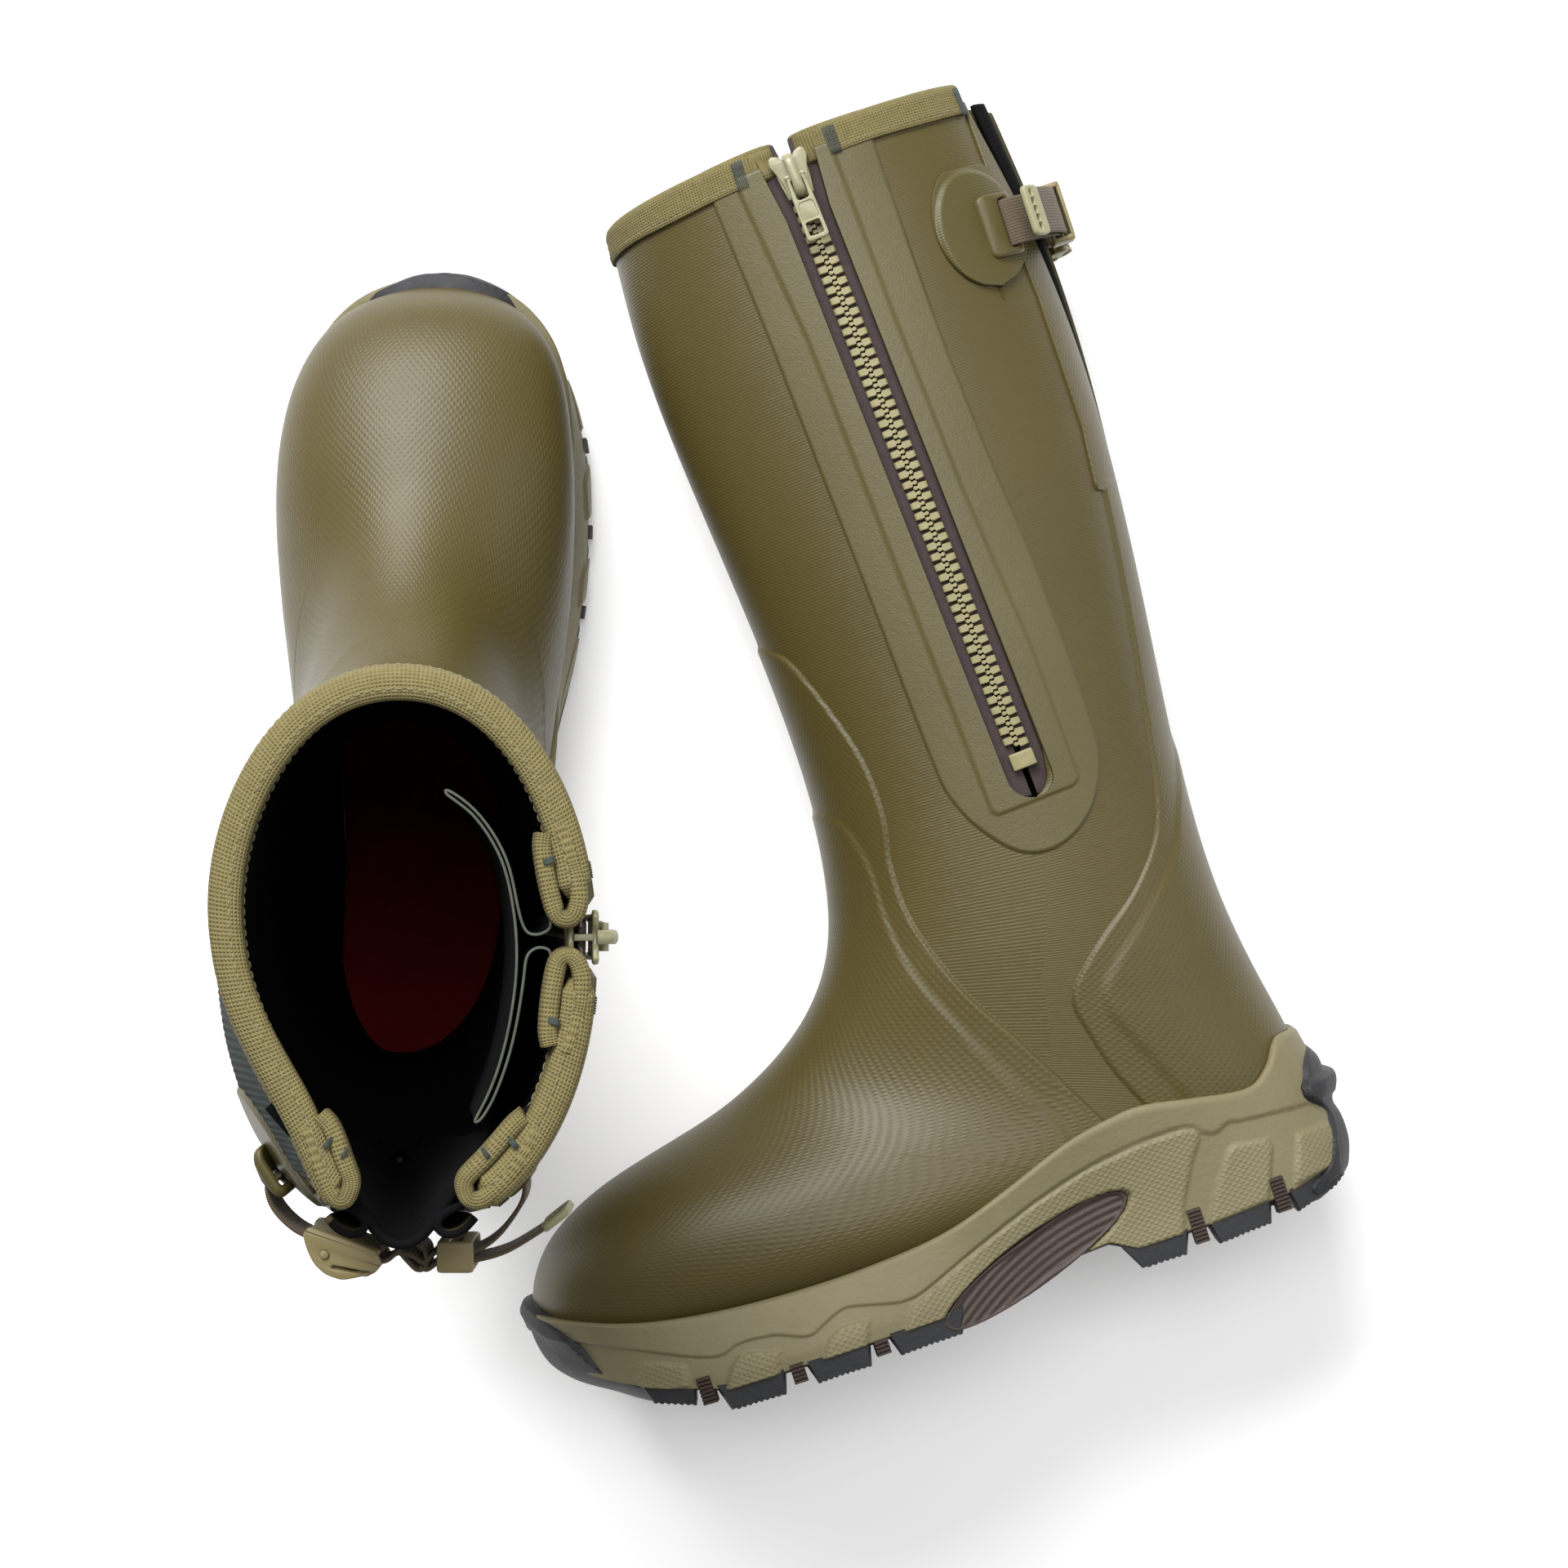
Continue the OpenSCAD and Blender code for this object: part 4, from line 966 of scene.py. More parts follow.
# ---- Top binding ----
# Ribbed webbing folded over the rim and sewn through. At the zip and at the rear opening its
# ends turn inward into flat loops, held by dark green bar tacks.
BINDING = (0.205, 0.172, 0.072)
binding_webbing = surface_material("binding_webbing", BINDING, 0.85, specular=0.25)
colour_from(binding_webbing, mottle(binding_webbing, BINDING, (0.135, 0.112, 0.044), 420.0, 0.8))
binding_uv = coordinates(binding_webbing, uv=True)
ribbing = combine(binding_webbing, ribs(binding_webbing, binding_uv, 0, 1.2),
                  ribs(binding_webbing, binding_uv, 1, 1.0))
bump_from(binding_webbing, [(ribbing, 0.0005, 0.9), (fine_grain(binding_webbing, 900), 0.00015, 0.6)])
sewing_thread = surface_material("sewing_thread", (0.20, 0.17, 0.075), 0.7, sheen=0.2)
colour_from(sewing_thread, mottle(sewing_thread, (0.20, 0.17, 0.075), (0.13, 0.11, 0.05), 900.0, 0.6))
bar_tack_thread = surface_material("bar_tack_thread", (0.020, 0.034, 0.022), 0.75, sheen=0.2)
colour_from(bar_tack_thread, mottle(bar_tack_thread, (0.020, 0.034, 0.022), (0.012, 0.02, 0.014), 900.0, 0.6))
binding_h, ring_drop = 11.0, 40.0
outer_off, inner_off = -1.45, inside_off + 0.5


def rim_point(side, a, off, drop):
    """A point near the rim: drop is the height below it in mm."""
    return skin(side, rim_s + np.asarray(drop, float) / ring_drop, a, off)


def binding_section():
    """The folded webbing's section as (off, drop) points."""
    outer = [(outer_off - 0.25 * (k % 2), d) for k, d in enumerate(np.linspace(binding_h, 0.9, 9))]
    top = [(outer_off + 0.5, -0.5), (0.6, -1.5), (2.6, -1.9), (inner_off - 2.6, -1.9),
           (inner_off - 0.6, -1.4), (inner_off + 0.1, -0.4)]
    inner = [(inner_off + 0.35, d) for d in np.linspace(0.9, binding_h + 1.5, 7)]
    back = [(inner_off - 0.9, binding_h + 1.5), (inner_off - 1.1, 1.4), (4, 0.4), (outer_off + 1.35, 1.4),
            (outer_off + 1.25, binding_h)]
    return outer + top + inner + back


def stitches(side, line, normal, length=2.1, pitch=2.9, radius=0.24):
    """Thread dashes along a polyline."""
    step = np.linalg.norm(np.diff(line, axis=0), axis=1)
    at = np.r_[0, np.cumsum(step)]
    parts = []
    for start in np.arange(pitch / 2, at[-1] - length, pitch):
        t = start + np.array([0, 0.18, 0.5, 0.82, 1.0]) * length
        path = np.stack([np.interp(t, at, line[:, k]) for k in range(3)], 1)
        out = np.stack([np.interp(t, at, normal[:, k]) for k in range(3)], 1)
        path += out * np.array([-0.25, 0.12, 0.2, 0.12, -0.25])[:, None]
        parts.append(tube(path, round_section(radius, sides=6), spin=out))
    return parts


mm_per_degree = 0.93
loop_section = rounded_box(-2.5, -6.5, 2.5, 6.5, 2.0, 3)
tack_section = round_section(0.26, sides=6)
for side in SIDES:
    z_rim = float(skin("plain", rim_s, 90.0)[2])
    half = float(slot_gap(np.array([rim_s]))[0])
    zip_front = float(angle_of_y(np.array([rim_s]), np.array([zip_y(z_rim) + half]))[0])
    zip_rear = float(angle_of_y(np.array([rim_s]), np.array([zip_y(z_rim) - half]))[0])
    back = math.degrees(math.asin(min(1.0, 22.5 / 52)))
    section = binding_section()
    thread = []
    for part, (start, end) in enumerate(((zip_front, -180 + back), (zip_rear, 180 - back))):
        count = int(abs(end - start) * 0.9) + 12
        angles = np.linspace(start, end, count)
        off = np.array([p[0] for p in section])
        drop = np.array([p[1] for p in section])
        wave = 0.22 * np.sin(np.radians(angles) * 9)[:, None]
        tuck = np.clip(np.minimum(np.arange(count), count - 1 - np.arange(count)) / 3, 0, 1)[:, None]
        points = rim_point(side, angles[:, None], 3 + (off[None] - 3) * (0.55 + 0.45 * tuck),
                           5 + (drop[None] - 5) * (0.6 + 0.4 * tuck) + wave * (drop[None] > 5))
        n = len(section)
        girth = np.r_[0, np.cumsum(np.hypot(np.diff(off), np.diff(drop)))]
        along = np.r_[0, np.cumsum(np.linalg.norm(np.diff(points[:, 4], axis=0), axis=1))]
        uv = np.stack([np.repeat(along[:, None], n, 1), np.repeat(girth[None], count, 0)], -1).reshape(-1, 2)
        face_outward(piece(side, f"top_binding_{part + 1}", points.reshape(-1, 3), prism_faces(count, n),
                           binding_webbing, ("top_binding",), uv))
        trim = angles[2:-2]
        for seam_off, seam_drop, sign in ((outer_off - 0.05, binding_h - 2.2, -1),
                                          (inner_off + 0.4, binding_h - 0.8, 1)):
            line = rim_point(side, trim, seam_off, seam_drop)
            normal = rim_point(side, trim, seam_off + sign, seam_drop) - line
            thread += stitches(side, line, normal)
        line = rim_point(side, trim, inner_off - 3.0, -1.85)
        thread += stitches(side, line, np.array([[0, 0, 1.0]] * len(trim)))
    points, faces = merged(thread)
    face_outward(piece(side, "binding_seams", points, faces, sewing_thread, ()))

    # The four ends: a strip of the same webbing folded back on itself inside the rim
    loops, tacks = [], []
    for end, (at, way) in enumerate(((zip_front, 1), (zip_rear, -1), (-180 + back, -1), (180 - back, 1))):
        rear = end > 1
        reach = 25 if rear else 15
        plan = eased([(-reach, 3.6), (-reach * 0.5, 2.8), (-4, 2.4), (0.5, 2.6), (3.2, 4.2), (3.8, 6.6),
                      (2.6, 8.9), (-1.5, 10.0), (-reach * 0.45, 10.3), (-reach * 0.8, 9.7), (-reach, 8.2)],
                     steps=5)
        degrees = at + way * plan[:, 0] / (1.02 if rear else mm_per_degree)
        mid = rim_point(side, degrees, plan[:, 1], 4.4)
        up = rim_point(side, degrees, plan[:, 1], 3.8) - mid
        loops.append(tube(mid, loop_section, spin=up))
        for bar in ((-reach * 0.62, 7.5), (-reach * 0.3, 11.5)) if rear else ((-reach * 0.62, 9.0),):
            angle = at + way * bar[0] / mm_per_degree
            for k in np.linspace(-2.6, 2.6, 9):
                across = [rim_point(side, angle + k * 0.22, bar[1] + w, -2.15 - 0.4 * math.cos(w * 1.1))
                          for w in (-1.6, -0.8, 0, 0.8, 1.6)]
                tacks.append(tube(np.array(across), tack_section))
        for k in np.linspace(-1.4, 1.4, 7):
            angle = at + way * (-4.5 + k) / mm_per_degree
            down = [rim_point(side, angle, outer_off - 0.35, d) for d in np.linspace(0.6, binding_h + 0.4, 6)]
            tacks.append(tube(np.array(down), tack_section, spin=(1, 0, 0)))
    points, faces = merged(loops)
    sides = len(loop_section)
    length = np.concatenate([np.repeat(np.arange(len(p) // sides) * 1.3, sides) for p, f in loops])
    round_way = np.concatenate([np.tile(np.arange(sides) * 1.2, len(p) // sides) for p, f in loops])
    face_outward(piece(side, "binding_ends", points, faces, binding_webbing, (),
                       np.stack([length, round_way], 1)))
    points, faces = merged(tacks)
    face_outward(piece(side, "bar_tacks", points, faces, bar_tack_thread, ()))

# ---- Rear gusset ----
# A bellows of black neoprene lets the shaft open at the calf. It hangs in the rear opening as a
# V with a narrow return fold at each side, and runs down to the end of the opening.
gusset_face = jersey("gusset_face", (0.070, 0.058, 0.024), (0.050, 0.041, 0.017))
gusset_rows = np.linspace(rim_s + 0.12, ring_at_height(boot_height - gusset_depth - 2, 1), 70)
v_line = eased([(36, 46), (29, 38), (21.5, 30), (15.2, 23.5), (10.6, 17), (5.6, 10.6), (0, 8.4), (-5.6, 10.6),
                (-10.6, 17), (-15.2, 23.5), (-21.5, 30), (-29, 38), (-36, 46)], steps=5)
side_fold = eased([(24, 27), (18.5, 20.5), (12.2, 17.4), (9.9, 14.6), (10.6, 12.2), (13.4, 11.4),
                   (17, 12.8), (20, 16)], steps=5)


def folded(side, line, thickness, drop):
    """A fold line in plan, in mm from the middle of the opening's back, drawn down the opening."""
    out = []
    for row in gusset_rows:
        s = row + drop / ring_drop * (1 - (row - gusset_rows[0]) / (gusset_rows[-1] - gusset_rows[0]))
        q = skin(side, s, 180.0, 0.0)
        k = 0.2 + 0.8 * np.clip(float(rear_gap(np.array([s]))[0]) / 21, 0, 1)
        out.append(np.stack([q[0] + line[:, 0] * k, q[1] + (line[:, 1] - 12) * k + 1.6 * (1 - k),
                             np.full(len(line), q[2])], 1))
    grid = np.array(out)
    rows, cols = grid.shape[:2]
    uv = np.stack([np.tile(np.arange(cols) * 1.4, rows), np.repeat(np.arange(rows) * 2.3, cols)], 1)
    return thickened(grid, thickness), slab_faces(rows, cols), np.concatenate([uv, uv])


def gusset_piece(side, name, nodes, line, thickness, drop):
    """A fold with the olive jersey on its outer side, which is its first half of points."""
    points, faces, uv = folded(side, line, thickness, drop)
    fold = piece(side, name, points, faces, neoprene, nodes, uv)
    face_outward(fold)
    fold.data.materials.append(gusset_face)
    for polygon in fold.data.polygons:
        polygon.material_index = int(max(polygon.vertices) < len(points) // 2)


for side in SIDES:
    gusset_piece(side, "rear_gusset", ("rear_gusset",), v_line, 2.4, 5)
    for end, sign in enumerate((1, -1)):
        gusset_piece(side, f"gusset_fold_{end + 1}", (), side_fold[::sign] * (sign, 1), 2.2, 3)

# ---- Stretch panel ----
# Corded dark green elastic let into the inner side at the rear of the shaft.
ribbed_elastic = surface_material("ribbed_elastic", (0.020, 0.030, 0.026), 0.85, specular=0.2)
elastic_uv = coordinates(ribbed_elastic, uv=True)
cords = ribs(ribbed_elastic, elastic_uv, 0, 2.0)
ramp = add_node(ribbed_elastic, "ShaderNodeValToRGB", {"Fac": cords})
ramp.color_ramp.elements[0].color = (0.010, 0.017, 0.014, 1)
ramp.color_ramp.elements[1].color = (0.034, 0.050, 0.042, 1)
colour_from(ribbed_elastic, ramp.outputs["Color"])
bump_from(ribbed_elastic, [(cords, 0.0008, 0.9), (fine_grain(ribbed_elastic, 800), 0.0001, 0.5)])


def corded(y, z, a):
    """Height of the elastic with its cords."""
    return 1.2 + 0.25 * np.sin(y / 2.0 * np.pi) ** 2


for side in SIDES:
    rows = np.linspace(rim_s + 0.24, ring_at_height(326, 1), 70)
    z0 = side_view(rows, np.full(len(rows), 270.0))[1]
    front = 360 - angle_of_y(rows, 70 + (z0 - 326) * 0.1)
    rear = 360 - angle_of_y(rows, 24 + 0 * z0)
    laid_sheet(side, "stretch_panel", rows, np.minimum(front, rear), np.maximum(front, rear), 110, corded,
               ribbed_elastic, ("stretch_panel",))

# ---- Adjusting strap ----
# Fine ribbed webbing runs behind the opening from loop to loop, through a lever buckle and a
# ladder lock, and ends in a soft tip with five slots.
strap_z, strap_w = 390.0, 18.0


def strap_frame(side, points):
    """Plan (x, y, height) in mm about the strap's middle into the boot frame."""
    slump = (strap_z - ankle_z) / (boot_height - ankle_z)
    middle = (LEAN[side][0] * slump, LEAN[side][1] * slump, strap_z)
    return np.asarray(points, float).reshape(-1, 3) + middle


def band(plan, width, thickness, steps=6):
    """A flat band standing on edge along a plan line."""
    line = eased(plan, steps=steps)
    path = np.stack([line[:, 0], line[:, 1], 0 * line[:, 0]], 1)
    edge = rounded_box(-thickness / 2, -width / 2, thickness / 2, width / 2, thickness * 0.45, 2)
    section = []
    for (x0, y0), (x1, y1) in zip(edge, edge[1:] + edge[:1]):
        pieces = max(1, int(math.hypot(x1 - x0, y1 - y0) / 3))
        section += [(x0 + (x1 - x0) * t / pieces, y0 + (y1 - y0) * t / pieces) for t in range(pieces)]
    points, faces = tube(path, section, spin=(0, 0, 1))
    n = len(section)
    along = np.r_[0, np.cumsum(np.linalg.norm(np.diff(path, axis=0), axis=1))]
    uv = np.stack([np.repeat(along, n), np.tile([p[1] for p in section], len(path))], 1)
    return points, faces, uv


strap_webbing = surface_material("strap_webbing", (0.150, 0.100, 0.048), 0.78, sheen=0.1)
strap_uv = coordinates(strap_webbing, uv=True)
weft = ribs(strap_webbing, strap_uv, 0, 0.7)
fibres = combine(strap_webbing, weft, fine_grain(strap_webbing, 900))
weave_ramp = add_node(strap_webbing, "ShaderNodeValToRGB", {"Fac": fibres})
weave_ramp.color_ramp.elements[0].color = (0.060, 0.042, 0.024, 1)
weave_ramp.color_ramp.elements[1].color = (0.185, 0.135, 0.075, 1)
colour_from(strap_webbing, weave_ramp.outputs["Color"])
bump_from(strap_webbing, [(combine(strap_webbing, weft, ribs(strap_webbing, strap_uv, 1, 1.1)), 0.0003, 0.9)])
anchor_rubber = rubber_skin("anchor_rubber", (0.080, 0.065, 0.0165), (0.064, 0.052, 0.0125), "smooth")
hardware = surface_material("hardware_plastic", (0.175, 0.135, 0.055), 0.4)
colour_from(hardware, mottle(hardware, (0.235, 0.190, 0.085), (0.205, 0.165, 0.072), 60.0, 0.5))
roughness_from(hardware, fine_grain(hardware, 200), 0.34, 0.5)
bump_from(hardware, [(fine_grain(hardware, 600), 0.00006, 0.5)])
tip_rubber = surface_material("tip_rubber", (0.300, 0.290, 0.160), 0.5)
colour_from(tip_rubber, mottle(tip_rubber, (0.300, 0.290, 0.160), (0.255, 0.245, 0.130), 90.0, 0.5))
bump_from(tip_rubber, [(fine_grain(tip_rubber, 500), 0.00008, 0.5)])
loop_at, lock_at = (33.2, 21.5), (17.0, -3.4, 0)
buckle_at, buckle_turn, pivot_at = (-15.0, -2.2), -19.0, (-4.4, -1.9, 0)
patch_y, patch_half_y, patch_half_z = 28, 17.2, 24.5


def turned(points, degrees, about):
    c, s = math.cos(math.radians(degrees)), math.sin(math.radians(degrees))
    p = np.asarray(points, float).reshape(-1, 3)
    return np.stack([p[:, 0] * c - p[:, 1] * s + about[0], p[:, 0] * s + p[:, 1] * c + about[1], p[:, 2]], 1)


def patch_edges(s, mirror):
    """Where the oval patch begins and ends on ring s."""
    z = side_view(s, 90.0 if mirror > 0 else 270.0)[1]
    c = np.clip(1 - ((z - strap_z) / patch_half_z) ** 2, 0, 1) ** 0.5
    return patch_y - patch_half_y * c, patch_y + patch_half_y * c


def patch_height(y, z, a):
    inside = 1 - np.sqrt(((y - patch_y) / patch_half_y) ** 2 + ((z - strap_z) / patch_half_z) ** 2)
    return 1.1 + 1.3 * roll(inside * 17, 1.6)


for side in SIDES:
    # Patches and loops
    rows = np.linspace(ring_at_height(416, 1), ring_at_height(364, 1), 60)
    for end, mirror in enumerate((1, -1)):
        near, wide = np.array([patch_edges(s, mirror) for s in rows]).T
        a_rear, a_front = angle_of_y(rows, near), angle_of_y(rows, wide)
        low, high = (a_front, a_rear) if mirror > 0 else (360 - a_rear, 360 - a_front)
        laid_sheet(side, f"strap_patch_{end + 1}", rows, low, high, 46, patch_height, anchor_rubber,
                   ("strap_anchors",))
        window = rounded_box(-9.4, 2.0, 9.4, 6.8, 1.8, 3)
        frame_plate = flat_plate([rounded_box(-12.2, -1.0, 12.2, 14.5, 3.2), window], 3.4, 1.1)
        q = swap(frame_plate[0], (2, 1, 0))
        q[:, 1] -= 6.4
        q[:, 0] += mirror * (4 - 0.02 * q[:, 1] ** 2 - 0.30 * np.clip(q[:, 1] - 1, 0, 9))
        q = turned(q, -mirror * 40, (mirror * loop_at[0], loop_at[1]))
        face_outward(piece(side, f"strap_loop_{end + 1}", strap_frame(side, q), frame_plate[1],
                           anchor_rubber, ()))

    # Webbing
    main_line = [(-33.2, 18.4), (-35.4, 18.2), (-36.4, 15.4), (-34.8, 10.4), (-30.5, 5.5), (-25.1, 2.2),
                 (-15, -1.3), (-4.3, -4.95), (0.5, -2.6), (4.5, -3.4), (8, -5.2), (11.4, -2.3), (17, -1.95),
                 (22.6, -1.9), (29, 2.5), (34.8, 10.4), (36.4, 15.4), (35.4, 18.2), (33.2, 18.4)]
    tail_line = [(6.6, -6.4), (9, -7.2), (13, -4.6), (18, -4.5), (23, -4.5), (31, -2.2), (39, 2.4),
                 (43.6, 5.6)]
    back_line = [(-5.5, -2.6), (-1, 0.4), (4, 0.6), (8, -1.8), (8.4, -6.4), (6.0, -7.3), (3.2, -4.8),
                 (0.5, -1.6)]
    bands = [band(main_line, strap_w, 1.3), band(tail_line, strap_w, 1.2), band(back_line, strap_w, 1.1)]
    points, faces = merged([(p, f) for p, f, uv in bands])
    uv = np.concatenate([uv for p, f, uv in bands])
    face_outward(piece(side, "adjusting_strap", strap_frame(side, points), faces, strap_webbing,
                       ("adjusting_strap",), uv))
    slots = [oval(3.2, z, 1.0, 1.45, 12) for z in np.linspace(-6.6, 6.6, 5)]
    tip = flat_plate([rounded_box(-2.5, -9.8, 7.0, 9.8, 2.6)] + slots, 2.5, 0.7)
    tip_points = turned(swap(tip[0], (0, 2, 1)), 38, (43.4, 5.5))
    face_outward(piece(side, "strap_tip", strap_frame(side, tip_points), tip[1], tip_rubber, ()))

    # Ladder lock
    parts = []
    block = rounded_box(-5.2, -4.4, 5.2, 4.4, 1.4, 3)
    for z in (-strap_w / 2 - 1.4, strap_w / 2 + 1.4):
        cheek = flat_plate([block], 2.2, 0.6)
        parts.append((cheek[0] + (0, 0, z), cheek[1]))
    for y, thick in ((3.6, 1.5), (-3.7, 1.5), (0.05, 1.0)):
        for x in (-3.4, 3.2):
            bar = flat_plate([rounded_box(-1.7, -strap_w / 2 - 1, 1.7, strap_w / 2 + 1, 0.5)], thick, 0.4)
            parts.append((swap(bar[0], (0, 2, 1)) + (x, y, 0), bar[1]))
    points, faces = merged(parts)
    face_outward(piece(side, "ladder_lock", strap_frame(side, points + lock_at), faces, hardware,
                       ("ladder_lock",)))

    # Buckle body: two curved cheeks and a bed; lever with its rivet
    cheek_line = rounded([(-11.2, 4.2), (-12.2, 1.6), (-9.6, -2.2), (-6.4, -5.4), (-2.4, -7.2), (2.6, -7.2),
                          (7.2, -4.6), (11.4, -0.8), (11.8, 1.0), (10.2, 2.6), (9.2, 4.0), (0, 4.2)], 1.6, 3)
    pin_hole = oval(pivot_at[0], pivot_at[1], 1.2, 1.2, 14)
    slit = rounded([(-1.5, -4.9), (8.4, -3.5), (9.4, -2.8), (8.2, -2.6), (-1.3, -4.0)], 0.4, 2)
    parts = []
    for z in (-strap_w / 2 - 1.55, strap_w / 2 + 1.55):
        cheek = flat_plate([cheek_line, pin_hole, slit], 2.0, 0.5)
        parts.append((cheek[0] + (0, 0, z), cheek[1]))
    bed = flat_plate([rounded_box(-10.6, -strap_w / 2 - 1, 10.2, strap_w / 2 + 1, 0.8)], 1.5, 0.4)
    parts.append((swap(bed[0], (0, 2, 1)) + (0, 3.4, 0), bed[1]))
    points, faces = merged(parts)
    placed = strap_frame(side, turned(points, buckle_turn, buckle_at))
    face_outward(piece(side, "buckle_body", placed, faces, hardware, ("buckle_body",)))
    lever_line = rounded([(-1.7, -0.8), (-1.2, -2), (0, -3.9), (4, -4.9), (9, -4.2), (14.4, -1.4),
                          (15.6, 0.2), (14.2, 0.4), (9, -2.2), (3, -2.4), (1.6, -0.2), (1.2, 1.2),
                          (0, 1.75), (-1.3, 1.2), (-1.8, 0)], 0.7, 2)
    lever = flat_plate([lever_line], strap_w - 0.9, 0.5)
    rivet_sides = 16
    rivet = tube([(0, 0, z) for z in (-12.3, -12.1, -11.6, 11.6, 12.1, 12.3)],
                 round_section(1.35, sides=rivet_sides), spin=(1, 0, 0))
    rivet[0][:rivet_sides, :2] *= 0.6
    rivet[0][-rivet_sides:, :2] *= 0.6
    points, faces = merged([lever, rivet])
    placed = strap_frame(side, turned(points + pivot_at, buckle_turn, buckle_at))
    face_outward(piece(side, "buckle_lever", placed, faces, hardware, ("buckle_lever",),
                       part_of="buckle_lever_body"))

# ---- Midsole ----
# A tan rubber wall hugs the foot of the shell. Its upper band is plain; below a stepped line it is
# sunk and carries raised panels with a fine diamond texture.
sole_rows = [(0, -12, 9), (3, -22, 19), (10, -31, 28), (28, -38, 36), (60, -40, 39), (100, -39, 41),
             (140, -42, 47), (170, -49, 54), (200, -55, 59), (228, -57.5, 61), (254, -55, 60),
             (277, -47, 55), (296, -34, 46), (309, -19, 33), (316, -5, 20), (318, 4, 11)]
outline = eased([(r[2], r[0]) for r in sole_rows] + [(r[1], r[0]) for r in sole_rows[::-1]], closed=True,
                steps=16)
steps_along = np.linalg.norm(np.diff(np.vstack([outline, outline[:1]]), axis=0), axis=1)
girth_at = np.r_[0, np.cumsum(steps_along)]
wall_at = np.linspace(0, girth_at[-1], 721)[:-1]
closed_line = np.vstack([outline, outline[:1]])
wall_xy = np.stack([np.interp(wall_at, girth_at, closed_line[:, k]) for k in (0, 1)], 1)
along_wall = np.roll(wall_xy, -1, 0) - np.roll(wall_xy, 1, 0)
along_wall /= np.linalg.norm(along_wall, axis=1)[:, None]
wall_out = np.stack([along_wall[:, 1], -along_wall[:, 0]], 1)
if np.sum(wall_out * (wall_xy - [0, 159])) < 0:
    wall_out = -wall_out


def line_z(y, points):
    p = np.array(sorted(points), float)
    return np.interp(y, p[:, 0], p[:, 1])


base_line = [(-8, 21), (0, 18), (12, 12.5), (30, 9), (56, 7.5), (90, 7.5), (100, 13), (125, 12), (160, 7.5),
             (250, 8), (270, 14), (282, 18), (300, 26), (310, 34), (326, 52)]
lip_line = eased([(-8, 65), (8, 66.5), (14, 64.5), (22, 57), (33, 52.5), (54, 56), (72, 59.5), (85, 59),
                  (106, 55), (136, 44.5), (160, 37.5), (189, 35), (215, 35), (240, 36.5), (261, 39),
                  (280, 43), (301, 50), (312, 54), (326, 57)], steps=6)
step_line = eased([(-8, 37), (16, 39.5), (38, 42), (44, 43), (49, 41), (54, 42.5), (60, 47), (79, 47),
                   (101, 44), (124, 38), (148, 29.5), (170, 21), (180, 19.5), (191, 22), (201, 24), (210, 21),
                   (217, 18.8), (229, 23), (242, 24), (250, 22), (261, 25), (282, 34), (300, 41), (326, 50)],
                  steps=6)
raised_panels = [
    [(55, 44), (60, 46.2), (79, 46), (101, 43), (124, 37), (148, 28.3), (170, 19.8), (177, 17.2),
     (182, 10), (186, 3), (150, 3), (110, 5), (73, 5), (68, 20), (61, 33), (56, 40)],
    [(44, 34.5), (31, 32.5), (30, 29), (38, 10), (63, 8), (57, 19), (49, 31), (46, 34)],
    [(20, 30.5), (6, 30), (6, 14), (27, 12), (25, 18), (22, 25)],
    [(279, 28), (272, 26.3), (263, 22.3), (264, 14), (280, 16), (284, 22)],
    [(243, 20.6), (238, 20), (228, 17.2), (232, 5), (253, 6), (250, 13), (247, 17.5)],
    [(207, 17.6), (203, 18.4), (193, 17.6), (199, 4), (217, 4), (214, 10), (210, 16)]]


def midsole_height(y, z):
    lift = 1.1 * roll(z - np.interp(y, step_line[:, 0], step_line[:, 1]) + 0.6, 1.1)
    for panel in raised_panels:
        lift = np.maximum(lift, 1.2 * roll(inside_distance(y, z, panel), 1.0))
    return lift


arch_at, arch_tilt, arch_size = (128.0, 17.0), math.radians(17), (84.0, 19.0)


def arch_distance(y, z):
    """How far inside the arch insert's oval, in mm; negative outside it."""
    dy, dz = y - arch_at[0], z - arch_at[1]
    u = dy * math.cos(arch_tilt) - dz * math.sin(arch_tilt)
    v = dy * math.sin(arch_tilt) + dz * math.cos(arch_tilt)
    reach = np.sqrt((u / (arch_size[0] / 2)) ** 2 + (v / (arch_size[1] / 2)) ** 2) + 1e-6
    return (1 - reach) * np.hypot(u, v) / reach, u, v


def diamond(m, scale=1.0):
    uv = coordinates(m, uv=True)
    turn = [add_node(m, "ShaderNodeMapping", {"Vector": uv, "Rotation": (0, 0, a)}).outputs["Vector"]
            for a in (0.62, -0.62)]
    return combine(m, ribs(m, turn[0], 1, 1.7 * scale), ribs(m, turn[1], 1, 1.7 * scale))


TAN = (0.180, 0.156, 0.079)
midsole_rubber = surface_material("midsole_rubber", TAN, 0.6)
colour_from(midsole_rubber, mottle(midsole_rubber, TAN, (0.150, 0.130, 0.064), 22.0, 0.6))
roughness_from(midsole_rubber, fine_grain(midsole_rubber, 60), 0.52, 0.68)
bump_from(midsole_rubber, [(fine_grain(midsole_rubber, 380, 4.0), 0.0004, 0.7)])
panel_rubber = surface_material("midsole_panel", TAN, 0.55)
colour_from(panel_rubber, mottle(panel_rubber, (0.190, 0.166, 0.085), (0.155, 0.134, 0.066), 22.0, 0.6))
bump_from(panel_rubber, [(diamond(panel_rubber, 1.1), 0.0004, 0.5)])

